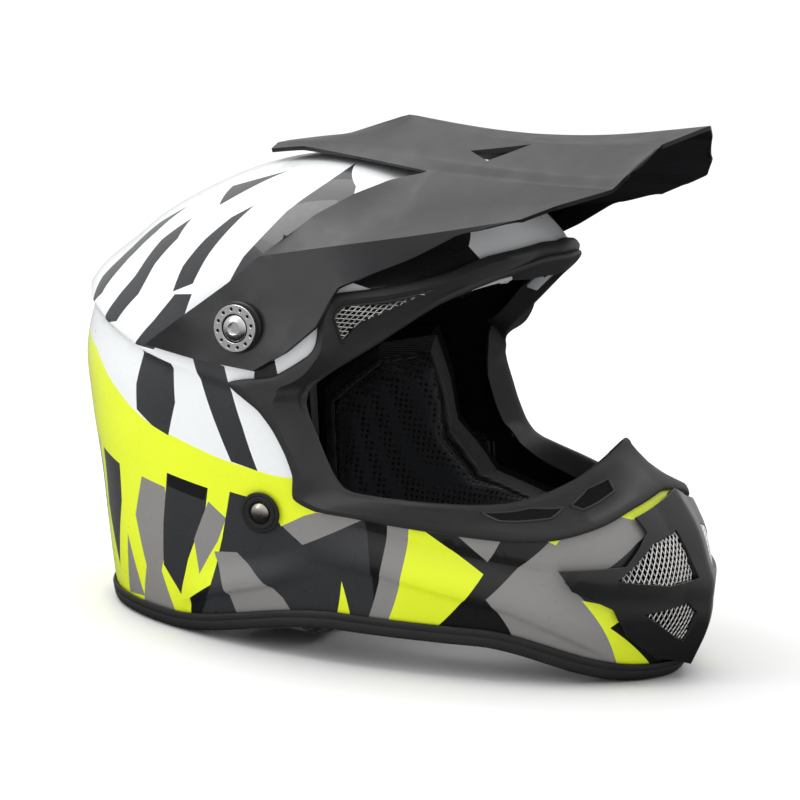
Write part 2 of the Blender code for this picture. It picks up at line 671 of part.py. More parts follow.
def peak_outer_face():
    """Vertices and faces of the peak's outer face, both sides, sharing the ridge's points."""
    ridge, crease, shoulder = list(PEAK_RIDGE), list(PEAK_CREASE), list(PEAK_SHOULDER)
    channel, upper, lower = list(PEAK_CHANNEL), list(WING_UPPER_CREASE), list(WING_LOWER_CREASE)
    rear, edge, tip, bump = list(WING_REAR_EDGE), list(WING_LOWER_EDGE), WING_TIP, PEAK_TIP_BUMP
    faces = []
    for i in range(7):
        if crease[i] is None and crease[i + 1] is None:
            faces.append((ridge[i], shoulder[i], shoulder[i + 1], ridge[i + 1]))
        elif crease[i] is None:
            faces.append((ridge[i], crease[i + 1], ridge[i + 1]))
            faces.append((ridge[i], shoulder[i], shoulder[i + 1], crease[i + 1]))
        else:
            faces.append((ridge[i], crease[i], crease[i + 1], ridge[i + 1]))
            faces.append((crease[i], shoulder[i], shoulder[i + 1], crease[i + 1]))
        faces.append((shoulder[i], channel[i], channel[i + 1], shoulder[i + 1]))
    faces.append((crease[7], shoulder[7], bump))
    faces += [
        (channel[3], upper[0], upper[1], channel[4]),
        (channel[4], upper[1], upper[2], channel[5]),
        (channel[5], upper[2], upper[3], channel[6]),
        (channel[6], upper[3], tip, channel[7]),
        (channel[3], rear[0], upper[0]),
        (rear[0], rear[1], upper[0]),
        (rear[1], rear[2], lower[0], upper[0]),
        (rear[2], rear[3], rear[4], lower[0]),
        (upper[0], lower[0], lower[1], upper[1]),
        (upper[1], lower[1], lower[2], upper[2]),
        (upper[2], lower[2], edge[9], upper[3]),
        (upper[3], edge[9], tip),
        (lower[2], edge[8], edge[9]),
        (lower[1], edge[7], edge[8], lower[2]),
        (lower[0], edge[6], edge[7], lower[1]),
        (lower[0], edge[5], edge[6]),
        (rear[4], edge[4], edge[5], lower[0]),
        (rear[4], rear[5], edge[3], edge[4]),
        (rear[5], rear[6], edge[2], edge[3]),
        (rear[6], edge[0], edge[1], edge[2]),
        (rear[6], rear[7], edge[0]),
    ]
    vertices, number, built = [], {}, []
    for side in (1, -1):
        for face in faces:
            row = []
            for point in face:
                key = (side * point[0], point[1], point[2])
                if key not in number:
                    number[key] = len(vertices)
                    vertices.append(peak_point(point, side))
                row.append(number[key])
            built.append(tuple(row) if side > 0 else tuple(reversed(row)))
    return vertices, built


def thickened(vertices, faces, thickness):
    """A sheet and its inner copy, joined round the border: each point moves in along its normal."""
    sheet = bmesh.new()
    points = [sheet.verts.new(v) for v in vertices]
    for face in faces:
        sheet.faces.new([points[i] for i in face])
    bmesh.ops.triangulate(sheet, faces=[f for f in sheet.faces if len(f.verts) > 3])
    sheet.normal_update()
    sheet.verts.index_update()
    outward = sum((f.normal.z * f.calc_area() for f in sheet.faces))
    sign = -1 if outward > 0 else 1
    inner = []
    for point in points:
        even = max((point.normal.dot(f.normal) for f in point.link_faces), default=1)
        move = thickness / max(0.6, min(1.0, even))
        inner.append(point.co + sign * move * point.normal)
    count = len(points)
    made = [tuple(v.index for v in f.verts) for f in sheet.faces]
    made += [tuple(i + count for i in reversed(f)) for f in made]
    for edge in sheet.edges:
        if edge.is_boundary:
            a, b = (v.index for v in edge.verts)
            made.append((a, b, b + count, a + count))
    outer = [point.co.copy() for point in points]
    sheet.free()
    return outer + inner, made


def along_axis(side, x):
    forward, height = PIVOT
    return Vector((side * x, -forward, height))


def make_peak():
    vertices, faces = thickened(*peak_outer_face(), PEAK_THICKNESS)
    peak = new_object("peak", "matte_black", vertices, faces, 12)
    radius, inner, outer = BOSS
    for side, word in ((1, "left"), (-1, "right")):
        boss = turned("boss_tool_" + word, "gloss_black", [(0, 0), (0, radius), (outer - inner, radius), (0, 0)],
                      along_axis(side, inner), (side, 0, 0), 32)
        combine(peak, boss, "UNION")
        drill = turned("boss_drill_" + word, "gloss_black", [(0, 0), (0, PEAK_HOLE), (30, PEAK_HOLE), (0, 0)],
                       along_axis(side, 115.0), (side, 0, 0), 24)
        combine(peak, drill, "DIFFERENCE")
    return peak


def make_peak_screws():
    outer = BOSS[2]
    made = []
    for side, word in ((1, "left"), (-1, "right")):
        axis = (side, 0, 0)
        washer = [(0.3, 3.0), (0.3, SCREW_HEAD + 0.6), (0.9, SCREW_HEAD + 0.6), (0.9, 3.0)]
        turned("peak_washer_" + word, "black_rubber", washer, along_axis(side, outer), axis, 32)
        screw = [(-18, 0), (-18, SCREW_SHANK), (1.2, SCREW_SHANK), (1.2, SCREW_HEAD), (2.4, SCREW_HEAD),
                 (3.4, SCREW_HEAD - 1.6), (3.6, 4.5), (2.2, 3.8), (2.2, 0)]
        made.append(turned("peak_screw_" + word, "aluminium", screw, along_axis(side, outer), axis, 32))
        insert = [(0, INSERT_BORE), (0, 10.5), (1.4, 10.5), (1.4, INSERT_BARREL),
                  (9.6, INSERT_BARREL), (9.6, INSERT_BORE)]
        turned("peak_insert_" + word, "steel", insert, along_axis(side, INSERT_FACE), axis, 24)
    return made


# ---------------------------------------------------------------- chin strap
def rivet_frame(side):
    place = place_at(*RIVET, side)
    return on_shell(place), face_normal(math.radians(place[0]), level_of(place[1]))


def strap_path(side):
    """The middle line of a strap, from its hanger plate down inside the shell and across."""
    forward = RIVET[0]
    path = []
    for height, depth in ((61, 10.2), (45, 10.3), (34, 10.6), (24, 14.5)):
        point = on_shell(place_at(forward, height, side), depth)
        path.append(Vector((point.x, -forward, height)))
    for x, height in ((96.0, 18), (93, 13), (88, STRAP_LOW + 0.6), (82, STRAP_LOW)):
        path.append(Vector((side * x, -forward, height)))
    return path


def make_strap(side, word, end):
    half_thick, half_wide = STRAP_THICKNESS / 2, STRAP_WIDTH / 2
    profile = [(-half_thick, -half_wide), (half_thick, -half_wide), (half_thick, half_wide),
               (-half_thick, half_wide)]
    return swept("chin_strap_" + word, "black_fabric", strap_path(side) + end, profile, up=(0, 1, 0))


def make_straps():
    y = -RIVET[0]
    loop_radius = RING_OFFSET + RING_WIRE + 0.35 + STRAP_THICKNESS / 2
    fold = [Vector((48, y, STRAP_LOW)), Vector((42, y, STRAP_LOW + 1.0)),
            Vector((24, y, STRAP_LOW + 2.6)), Vector((17, y, STRAP_LOW + loop_radius - 0.4))]
    for turn in range(90, 271, 30):
        a = math.radians(turn)
        fold.append(Vector((RING_BAR + loop_radius * math.cos(a), y, STRAP_LOW + loop_radius * math.sin(a))))
    fold += [Vector((17, y, STRAP_LOW - loop_radius + 0.4)), Vector((24, y, STRAP_LOW - 2.6)),
             Vector((38, y, STRAP_LOW - 2.2))]
    left = make_strap(1, "left", fold)
    right = make_strap(-1, "right", [Vector((-48, y, STRAP_LOW)), Vector((-22, y, STRAP_LOW))])
    hangers = []
    for side, word in ((1, "left"), (-1, "right")):
        centre, normal = rivet_frame(side)
        down = Vector((0, 0, -1))
        down = (down - down.dot(normal) * normal).normalized()
        beside = normal.cross(down)
        start = centre - 7.4 * normal
        outline = [(-9, -5), (-5, -9), (5, -9), (9, -5), (14, 16), (14, 27), (-14, 27), (-14, 16)]
        slot = [(-11, 20), (11, 20), (11, 23), (-11, 23)]
        hole = [((RIVET_SHANK + 0.3) * math.cos(a), (RIVET_SHANK + 0.3) * math.sin(a))
                for a in (2 * math.pi * i / 16 for i in range(16))]
        loops = [[start + a * beside + b * down for a, b in loop] for loop in (outline, slot, hole)]
        hangers.append(prism("strap_hanger_" + word, "steel", loops[0], 1.4 * normal, loops[1:]))
        rivet = [(-9.4, 0), (-9.4, 4.8), (-7.8, 4.8), (-7.8, RIVET_SHANK), (0.7, RIVET_SHANK), (0.7, 5.4),
                 (2.8, 5.2), (3.9, 3.2), (4.3, 0)]
        turned("strap_rivet_" + word, "steel", rivet, centre, normal, 24)
        ring = [(1.3, 5.9), (1.3, 10.4), (2.6, 10.0), (3.2, 8.6), (2.9, 5.9)]
        turned("rivet_ring_" + word, "black_rubber", ring, centre, normal, 32)
        half_wide, half_thick = STRAP_WIDTH / 2 + 0.6, STRAP_THICKNESS / 2 + 0.5
        bore = [(-half_wide, -half_thick), (half_wide, -half_thick), (half_wide, half_thick),
                (-half_wide, half_thick)]
        sleeve = [(-15, -5), (15, -5), (17, -3), (17, 3), (15, 5), (-15, 5), (-17, 3), (-17, -3)]
        loops = [[Vector((side * 51, y + a, STRAP_LOW + b)) for a, b in loop] for loop in (sleeve, bore)]
        prism("strap_pad_" + word, "black_fabric", loops[0], Vector((side * 30, 0, 0)), [loops[1]])
    return left, right, hangers


def make_ring(name, height):
    """A D-ring: a straight bar that the strap folds round, and a bow that closes it."""
    y = -RIVET[0]
    path = [Vector((RING_BAR, y - 14, height)), Vector((RING_BAR, y, height)),
            Vector((RING_BAR, y + 14, height)), Vector((RING_BAR - 2, y + 15.6, height))]
    for turn in range(0, 181, 20):
        a = math.radians(turn)
        path.append(Vector((RING_BAR - 8 - 16 * math.sin(a), y + 15.6 * math.cos(a), height)))
    path.append(Vector((RING_BAR - 2, y - 15.6, height)))
    profile = [(RING_WIRE * math.cos(a), RING_WIRE * math.sin(a))
               for a in (2 * math.pi * (i + 0.5) / 8 for i in range(8))]
    return swept(name, "steel", path, profile, closed=True)


def move_origin(obj, point):
    """Put the object's origin at a point (mm) without moving its shape."""
    target = (Vector(point) + Vector((0, CENTRE_SHIFT, 0))) * MM
    for vertex in obj.data.vertices:
        vertex.co -= target
    obj.location = target


clear_scene()
make_shell()
make_edge_trim()
make_surround()
make_brow_duct("brow_duct_left", 1)
make_brow_duct("brow_duct_right", -1)
make_chin_vents()
make_liners()
peak_body = make_peak()
move_origin(peak_body, along_axis(1, 0))
for screw, sign in zip(make_peak_screws(), (1, -1)):
    move_origin(screw, along_axis(sign, BOSS[2]))
strap_left, strap_right, hanger_plates = make_straps()
for strap, hanger, sign in zip((strap_left, strap_right), hanger_plates, (1, -1)):
    move_origin(strap, rivet_frame(sign)[0])
    move_origin(hanger, rivet_frame(sign)[0])
for ring_name, lift in (("d_ring_upper", RING_OFFSET), ("d_ring_lower", -RING_OFFSET)):
    bar_height = STRAP_LOW + lift
    move_origin(make_ring(ring_name, bar_height), Vector((RING_BAR, -RIVET[0], bar_height)))
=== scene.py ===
"""Looks for the motocross helmet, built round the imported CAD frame.

The shell, the surround, the vent cover and the pads are rebuilt at fine resolution over the same surface
as the CAD: a stack of plan sections that a spline joins. A place on that surface is (angle, height): the
angle in degrees from the front centreline, and the height in millimetres above the table. Free points are
(x, forward, height) in millimetres.
"""

import math

import bmesh
import bpy
import numpy as np
from mathutils import Matrix, Vector
from mathutils.geometry import delaunay_2d_cdt


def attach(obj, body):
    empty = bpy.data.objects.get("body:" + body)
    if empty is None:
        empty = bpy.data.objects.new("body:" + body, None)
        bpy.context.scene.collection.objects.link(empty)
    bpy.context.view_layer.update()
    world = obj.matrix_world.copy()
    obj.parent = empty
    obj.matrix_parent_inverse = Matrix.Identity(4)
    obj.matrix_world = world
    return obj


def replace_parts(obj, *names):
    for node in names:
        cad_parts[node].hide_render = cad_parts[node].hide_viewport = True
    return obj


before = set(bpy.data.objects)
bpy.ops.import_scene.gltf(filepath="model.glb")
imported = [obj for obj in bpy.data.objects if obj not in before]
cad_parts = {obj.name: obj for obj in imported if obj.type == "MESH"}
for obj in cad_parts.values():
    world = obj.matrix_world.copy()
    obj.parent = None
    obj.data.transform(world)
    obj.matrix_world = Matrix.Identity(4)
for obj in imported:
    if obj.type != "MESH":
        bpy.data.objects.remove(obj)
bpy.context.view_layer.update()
MM = 0.001
CENTRE_SHIFT = 5.9
HELMET = "helmet"
SIDES = ((1, "left"), (-1, "right"))
BATCH = 1500  # field points whose distances are measured at once

# ---------------------------------------------------------------- the shell's surface (mm), as in the CAD
SHELL_SECTIONS = np.array([
    # height, half width, middle, front, back, and the powers of the front and back curves
    (0, 103, -18, 166, -143, 1.90, 2.3),
    (12, 109, -18, 173, -146, 1.90, 2.3),
    (38, 116, -18, 180, -150, 1.90, 2.3),
    (72, 121, -20, 171, -158, 1.90, 2.2),
    (104, 125, -22, 146, -168, 1.90, 2.1),
    (135, 127, -24, 124, -175, 1.90, 2.0),
    (168, 124, -26, 109, -166, 1.80, 2.0),
    (200, 111, -26, 93, -140, 1.70, 2.0),
    (225, 84, -26, 66, -103, 1.80, 2.0),
    (240, 49, -26, 24, -68, 2.00, 2.0),
    (246, 0, -26, -26, -26, 2.00, 2.0),
], dtype=float)
HALF_WIDTH, HALF_LENGTH, CROWN_HEIGHT = 127.0, 150.0, 246.0
SHELL_THICKNESS = 4.5
ARCH_HEIGHT = 17.5
ARCH_REAR, ARCH_FRONT = (-75.0, 30.0), (95.0, 168.0)
TRIM_HEIGHT = 9.5
PIVOT = (-28.0, 167.0)
RIVET = (-11.0, 74.0)
BOSS_FACE = 129.6

# Each row: where the surround's outer edge lies on the shell, its inner lip, and its overlap.
SURROUND = (
    ((0, 213), (0, 91, 207), 3.5), ((11, 213), (22, 87, 206), 3.5), ((31, 208), (46, 73, 197.5), 3.5),
    ((44, 199.5), (69, 54, 185), 3.5), ((57, 192.5), (82, 36, 169), 3.5), ((69, 187), (89, 26, 160), 3.5),
    ((71, 180), (93, 20, 155), 3.5), ((72, 164), (98, 13, 149), 3.5), ((74, 157), (102, 9, 145), 4.0),
    ((82, 145), (107, 6, 141), 9.0), ((90, 141), (110, 4.5, 138.5), 20.0), ((93, 138), (112, 4, 135), 27.0),
    ((91, 134), (112, 4, 131), 20.0), ((86, 127), (111.5, 6, 125), 9.0), ((83, 118), (110.5, 10, 117), 4.0),
    ((81, 107), (109.5, 15, 107), 3.5), ((80, 96), (109, 21, 97), 3.5), ((80.5, 84), (109, 27, 91), 3.5),
    ((77, 79), (107, 34, 88.5), 3.5), ((71, 78), (100, 48, 87), 3.5), ((63, 76), (91, 64, 86), 3.5),
    ((53, 74), (77, 83, 85.5), 3.5), ((44, 73), (62, 98, 86.5), 3.5), ((36, 75), (46, 110, 91), 3.5),
    ((26, 81), (30, 119.5, 98), 3.5), ((15, 88.5), (15, 126, 107), 3.5), ((0, 94), (0, 132, 117.5), 3.5),
)
ROUNDED = 0.65  # how much of the surround's edge follows a spline, and how much straight lines
LAP_EDGE = 1.5  # how far the surround's lap runs past the shell's cut edge
FLANGE_DEPTH = 12.0
CHIN_COVER = ((0, 92), (9, 88), (17, 84), (16, 77), (24, 62), (38, 60), (36, 50), (28, 41),
              (27, 36), (24, 27), (14, 14), (0, 10))
UPPER_CHIN_VENT = ((27, 55), (15.5, 72), (7, 76), (4.5, 53), (14, 51.5))
LOWER_CHIN_VENT = ((21, 38), (8, 42), (5, 37), (7, 23), (11, 26))
CHEEK_EDGE = ((58, 62), (53, 50), (66, 32), (125, 32), (125, 108), (110, 138), (95, 148),
              (91, 122), (89, 97), (80, 72))

# The ledge that runs round the back, under the rear corners of the peak, and how far it stands out.
LEDGE = ((86, 134, 0.0), (95, 139, 1.2), (107, 143, 2.4), (116, 147, 3.2), (134, 156, 4.6), (150, 162, 5.6),
         (180, 168, 6.0))
# Creases along the lower sides: the shell stands proud above the first two, and is hollowed below the third.
SIDE_CREASE = ((80, 56, 0.0), (77, 55, 1.4), (68, 52, 3.2), (58, 46, 4.0), (48, 40, 4.2), (33, 24, 3.4),
               (24, 14, 0.0))
REAR_CREASE = ((108, 17, 0.0), (102, 22, 2.2), (94, 30, 3.4), (86, 38, 3.0), (78, 48, 0.0))
UPPER_CREASE = ((76, 75, 0.0), (70, 73, 1.0), (64, 70, 1.6), (53, 64, 1.8), (42, 60, 1.2), (35, 57, 0.0))


def smooth_step(value, low, high):
    share = np.clip((value - low) / (high - low), 0.0, 1.0)
    return share * share * (3 - 2 * share)


def spline(before, start, end, after, share):
    """The Catmull-Rom curve from start to end."""
    return 0.5 * (2 * start + (end - before) * share + (2 * before - 5 * start + 4 * end - after) * share**2
                  + (3 * start - before - 3 * end + after) * share**3)


def section_at(level):
    """The plan section at a level, 0 at the bottom and 1 at the crown: one array per column of the table."""
    rows = SHELL_SECTIONS
    past_crown = rows[-2].copy()
    past_crown[1] = -past_crown[1]
    past_crown[3:5] = 2 * rows[-1][3:5] - past_crown[3:5]
    control = np.vstack([2 * rows[0] - rows[1], rows, past_crown])
    place = np.clip(level, 0.0, 1.0) * (len(rows) - 1)
    index = np.minimum(place.astype(int), len(rows) - 2)
    return np.moveaxis(spline(*(control[index + k] for k in range(4)), (place - index)[..., None]), -1, 0)


LEVELS = np.linspace(0.0, 1.0, 2001)
LEVEL_HEIGHTS = section_at(LEVELS)[0]


def level_of(height):
    return np.interp(height, LEVEL_HEIGHTS, LEVELS)


def along(line, angle, column):
    rows = np.array(line, dtype=float)
    order = np.argsort(rows[:, 0])
    ends = dict(left=0.0, right=0.0) if column == 2 else {}
    return np.interp(angle, rows[order, 0], rows[order, column], **ends)


def step_relief(line, angle, height, run_up, drop):
    """Stands out above a crease line, rising over run_up mm, and steps back within drop mm below it."""
    over = height - along(line, angle, 1)
    size = along(line, angle, 2)
    return size * np.where(over >= 0, 1 - smooth_step(over, 0, run_up), 1 - smooth_step(-over, 0, drop))


def relief(angle, height):
    """How far the moulded features stand out of the plain shell, in mm."""
    side = np.abs(np.degrees(np.mod(angle + math.pi, 2 * math.pi) - math.pi))
    made = (step_relief(LEDGE, side, height, 30, 4.0) + step_relief(SIDE_CREASE, side, height, 22, 5.0)
            + step_relief(REAR_CREASE, side, height, 15, 4.5))
    # The upper crease is a hollow under its line: a step turned upside down and taken away.
    return made - 0.8 * step_relief(UPPER_CREASE, side, 2 * along(UPPER_CREASE, side, 1) - height, 12, 3.0)


def plain_face(angle, level, depth=0.0):
    height, half_width, middle, front, back, front_power, back_power = section_at(level)
    cosine, sine = np.cos(angle), np.sin(angle)
    inset = np.maximum(depth, 0.0)
    ahead = cosine >= 0
    reach = np.where(ahead, front - middle, middle - back)
    power = np.where(ahead, front_power, back_power)
    power = power + (2.05 - power) * np.minimum(1.0, inset / 20.0)
    x = half_width * np.sign(sine) * np.abs(sine) ** (2 / power)
    forward = middle + reach * np.sign(cosine) * np.abs(cosine) ** (2 / power)
    x = x * (1 - inset / HALF_WIDTH)
    forward = forward * (1 - inset / HALF_LENGTH)
    height = height - inset * (np.maximum(height, 0.0) / CROWN_HEIGHT) ** 1.5
    return np.stack([x, -forward, height], axis=-1)


def surface_normals(function, angle, level, step=0.004):
    around = function(angle + step, level) - function(angle - step, level)
    up = function(angle, np.minimum(level + step, 1)) - function(angle, np.maximum(level - step, 0))
    normal = np.cross(around, up)
    size = np.linalg.norm(normal, axis=-1, keepdims=True)
    flat = np.zeros_like(normal)
    flat[..., 2] = 1.0
    at_crown = (level > 0.995)[..., None]
    return np.where(at_crown | (size < 1e-9), flat, normal / np.maximum(size, 1e-9))


def layer(angle, level, depth=0.0):
    """Points at a depth below the plain shell; a negative depth stands proud along its normal."""
    angle, level = np.asarray(angle, float), np.asarray(level, float)
    depth = np.broadcast_to(np.asarray(depth, float), angle.shape)
    proud = np.maximum(-depth, 0.0)[..., None]
    return plain_face(angle, level, depth) + proud * surface_normals(plain_face, angle, level)


def painted_face(angle, level):
    height = section_at(level)[0]
    normal = surface_normals(plain_face, angle, level)
    return plain_face(angle, level) + relief(angle, height)[..., None] * normal


def on_shell(place, depth=0.0):
    return layer(math.radians(place[0]), level_of(place[1]), depth)


def normal_at(place):
    return surface_normals(plain_face, np.asarray(math.radians(place[0])), np.asarray(level_of(place[1])))


def walk(place, move):
    """The (angle, height) reached by moving along the shell from a place, in mm."""
    angle, level = math.radians(place[0]), float(level_of(place[1]))
    target = on_shell(place) + move
    step = 0.01
    for _ in range(3):
        here = plain_face(np.asarray(angle), np.asarray(level))
        around = (plain_face(np.asarray(angle + step), np.asarray(level))
                  - plain_face(np.asarray(angle - step), np.asarray(level))) / (2 * step)
        up = (plain_face(np.asarray(angle), np.asarray(level + step))
              - plain_face(np.asarray(angle), np.asarray(level - step))) / (2 * step)
        change = np.linalg.lstsq(np.stack([around, up], axis=1), target - here, rcond=None)[0]
        angle, level = angle + change[0], level + change[1]
    return math.degrees(angle), float(np.interp(level, LEVELS, LEVEL_HEIGHTS))


def place_at(forward, height, side=1):
    section = section_at(np.asarray(level_of(height)))
    middle, front, back, front_power, back_power = (float(v) for v in section[2:7])
    ahead = forward >= middle
    reach = front - middle if ahead else middle - back
    power = front_power if ahead else back_power
    share = min(abs(forward - middle) / reach, 1.0) ** (power / 2)
    return side * math.degrees(math.acos(math.copysign(share, forward - middle))), height


def edge_height(angle):
    forward = -plain_face(np.radians(angle), level_of(8.0 + 0 * np.asarray(angle, float)))[..., 1]
    return ARCH_HEIGHT * smooth_step(forward, *ARCH_REAR) * (1 - smooth_step(forward, *ARCH_FRONT))


# ---------------------------------------------------------------- node materials
def set_inputs(node, inputs):
    for key, value in inputs.items():
        node.inputs[key].default_value = value


def new_material(name, colour, roughness, **more):
    """A Principled material; more holds shader inputs by name, with _ for each space."""
    material = bpy.data.materials.new(name)
    material.use_nodes = True
    shader = material.node_tree.nodes["Principled BSDF"]
    set_inputs(shader, {"Base Color": (*colour, 1.0), "Roughness": roughness})
    set_inputs(shader, {key.replace("_", " "): value for key, value in more.items()})
    return material, material.node_tree, shader


def add_node(tree, kind, **inputs):
    node = tree.nodes.new("ShaderNode" + kind)
    set_inputs(node, {key.replace("_", " "): value for key, value in inputs.items()})
    return node


def texture(tree, kind, **inputs):
    """A texture node in object coordinates."""
    node = add_node(tree, "Tex" + kind, **inputs)
    tree.links.new(add_node(tree, "TexCoord").outputs["Object"], node.inputs["Vector"])
    return node


def add_bump(tree, shader, height, strength, distance, normal=None):
    bump = add_node(tree, "Bump", Strength=strength, Distance=distance)
    tree.links.new(height, bump.inputs["Height"])
    if normal is not None:
        tree.links.new(normal, bump.inputs["Normal"])
    tree.links.new(bump.outputs["Normal"], shader.inputs["Normal"])
    return bump.outputs["Normal"]


def noise(tree, scale, detail=3.0):
    return texture(tree, "Noise", Scale=scale, Detail=detail).outputs["Fac"]


def vary(tree, socket, fac, low, high):
    """Drives a socket between two values by a noise output, most of which lies from 0.3 to 0.7."""
    ramp = add_node(tree, "MapRange", From_Min=0.3, From_Max=0.7, To_Min=low, To_Max=high)
    tree.links.new(fac, ramp.inputs["Value"])
    tree.links.new(ramp.outputs["Result"], socket)


def tint(tree, shader, fac, first, second):
    mix = tree.nodes.new("ShaderNodeMix")
    mix.data_type = "RGBA"
    set_inputs(mix, {"A": (*first, 1.0), "B": (*second, 1.0)})
    tree.links.new(fac, mix.inputs["Factor"])
    tree.links.new(mix.outputs["Result"], shader.inputs["Base Color"])


def lacquer(name, colour, shade):
    """Gloss lacquer over a decal: a faint mottle under the coat and orange peel in its surface."""
    material, tree, shader = new_material(name, colour, 0.32, Coat_Weight=0.6, Coat_Roughness=0.03,
                                          Coat_IOR=1.45, Specular_IOR_Level=0.25)
    tint(tree, shader, noise(tree, 35.0), colour, shade)
    vary(tree, shader.inputs["Roughness"], noise(tree, 240.0), 0.26, 0.38)
    add_bump(tree, shader, noise(tree, 130.0, 0.0), 0.02, 0.0001)
    return material


def moulded_plastic(name, colour, shade, roughness):
    """Satin moulded plastic with a spark-eroded grain and slightly uneven gloss."""
    material, tree, shader = new_material(name, colour, roughness, Specular_IOR_Level=0.45)
    tint(tree, shader, noise(tree, 28.0), colour, shade)
    vary(tree, shader.inputs["Roughness"], noise(tree, 90.0), roughness - 0.05, roughness + 0.06)
    add_bump(tree, shader, noise(tree, 1500.0, 2.0), 0.25, 0.00025)
    return material


def rubber(name, colour, shade):
    material, tree, shader = new_material(name, colour, 0.62, Specular_IOR_Level=0.35)
    tint(tree, shader, noise(tree, 50.0), colour, shade)
    vary(tree, shader.inputs["Roughness"], noise(tree, 160.0), 0.52, 0.72)
    add_bump(tree, shader, noise(tree, 900.0, 3.0), 0.3, 0.0003)
    return material


def metal(name, colour, shade, roughness):
    material, tree, shader = new_material(name, colour, roughness, Metallic=1.0)
    tint(tree, shader, noise(tree, 260.0), colour, shade)
    vary(tree, shader.inputs["Roughness"], noise(tree, 700.0), roughness * 0.75, roughness * 1.35)
    add_bump(tree, shader, noise(tree, 1800.0, 2.0), 0.08, 0.0002)
    return material


def air_mesh(name, colour, hole, pitch):
    """Spacer mesh fabric: rows of round holes in a knitted face, with a little sheen; the holes are tinted
    with the darker hole colour as painted shade.
    """
    material, tree, shader = new_material(name, colour, 0.85, Sheen_Weight=0.25, Specular_IOR_Level=0.25)
    cells = texture(tree, "Voronoi", Scale=1.0 / pitch, Randomness=0.12)
    edge = add_node(tree, "MapRange", From_Min=0.25, From_Max=0.45)
    tree.links.new(cells.outputs["Distance"], edge.inputs["Value"])
    # Painted shade: the hole colour darkens each hole's middle, where the bump sinks.
    tint(tree, shader, edge.outputs["Result"], hole, colour)
    first = add_bump(tree, shader, edge.outputs["Result"], 0.9, 0.0008)
    add_bump(tree, shader, noise(tree, 2600.0, 2.0), 0.35, 0.0003, first)
    return material


def foam(name, colour, shade):
    """Moulded bead foam; also gives the near-black painted shade of the vent pockets and slots."""
    material, tree, shader = new_material(name, colour, 0.9, Specular_IOR_Level=0.2)
    beads = texture(tree, "Voronoi", Scale=330.0).outputs["Distance"]
    tint(tree, shader, beads, colour, shade)
    add_bump(tree, shader, beads, 0.5, 0.0006)
    return material


def webbing(name, colour, shade):
    """Woven strap or ribbed knit: slightly uneven ribs, one after another along x, with a little sheen, and
    painted shade in the troughs between them.
    """
    material, tree, shader = new_material(name, colour, 0.7, Sheen_Weight=0.3, Specular_IOR_Level=0.3)
    ribs = texture(tree, "Wave", Scale=260.0, Distortion=1.5, Detail=2.0).outputs["Fac"]
    # Painted shade: the shade colour falls in the low troughs of the same wave that the bump raises.
    tint(tree, shader, ribs, shade, colour)
    add_bump(tree, shader, ribs, 0.6, 0.0005)
    return material


WHITE = lacquer("lacquer_white", (0.80, 0.82, 0.83), (0.77, 0.79, 0.80))
DARK = lacquer("lacquer_charcoal", (0.030, 0.031, 0.034), (0.036, 0.037, 0.040))
BLACK = lacquer("lacquer_black", (0.008, 0.008, 0.009), (0.012, 0.012, 0.013))
GREY = lacquer("lacquer_grey", (0.245, 0.240, 0.235), (0.225, 0.220, 0.216))
YELLOW = lacquer("lacquer_fluo_yellow", (0.78, 0.90, 0.02), (0.74, 0.86, 0.02))
PEAK_BLACK = moulded_plastic("peak_satin_black", (0.008, 0.008, 0.010), (0.012, 0.012, 0.014), 0.38)
SURROUND_BLACK = moulded_plastic("surround_matte_black", (0.020, 0.020, 0.021), (0.026, 0.026, 0.027), 0.5)
COVER_BLACK = lacquer("cover_gloss_black", (0.010, 0.010, 0.011), (0.014, 0.014, 0.015))
DUCT_GREY = moulded_plastic("duct_grey", (0.40, 0.41, 0.42), (0.36, 0.37, 0.38), 0.45)
EDGE_RUBBER = rubber("edge_rubber", (0.016, 0.016, 0.016), (0.024, 0.024, 0.024))
RING_RUBBER = rubber("ring_rubber", (0.011, 0.011, 0.011), (0.018, 0.018, 0.018))
SCREW_METAL = metal("screw_aluminium", (0.86, 0.86, 0.87), (0.78, 0.78, 0.80), 0.24)
STEEL = metal("plated_steel", (0.62, 0.58, 0.53), (0.50, 0.47, 0.44), 0.3)
MESH_METAL = metal("mesh_silver", (0.92, 0.91, 0.88), (0.86, 0.85, 0.83), 0.42)
# The third colour of each air-mesh material is the painted shade in its holes.
PAD_MESH = air_mesh("pad_air_mesh", (0.034, 0.036, 0.041), (0.004, 0.004, 0.004), 0.0032)
PAD_RIB = webbing("pad_ribbed_knit", (0.024, 0.025, 0.028), (0.008, 0.008, 0.009))
LINER_KNIT = air_mesh("liner_knit", (0.012, 0.014, 0.017), (0.004, 0.004, 0.005), 0.0024)
FOAM_BLACK = foam("bead_foam", (0.012, 0.012, 0.013), (0.022, 0.022, 0.024))
WEBBING = webbing("strap_webbing", (0.028, 0.028, 0.030), (0.010, 0.010, 0.011))
# Near-black painted shade, put where vent pockets and slots would look dark from their depth.
PAINTED_SHADE_BLACK = foam("vent_painted_shade", (0.002, 0.002, 0.002), (0.004, 0.004, 0.004))


# ---------------------------------------------------------------- mesh helpers
def to_frame(points):
    points = np.asarray(points, float)
    return (points + np.array([0.0, CENTRE_SHIFT, 0.0])) * MM


def add_object(name, data):
    obj = bpy.data.objects.new(name, data)
    bpy.context.scene.collection.objects.link(obj)
    return obj


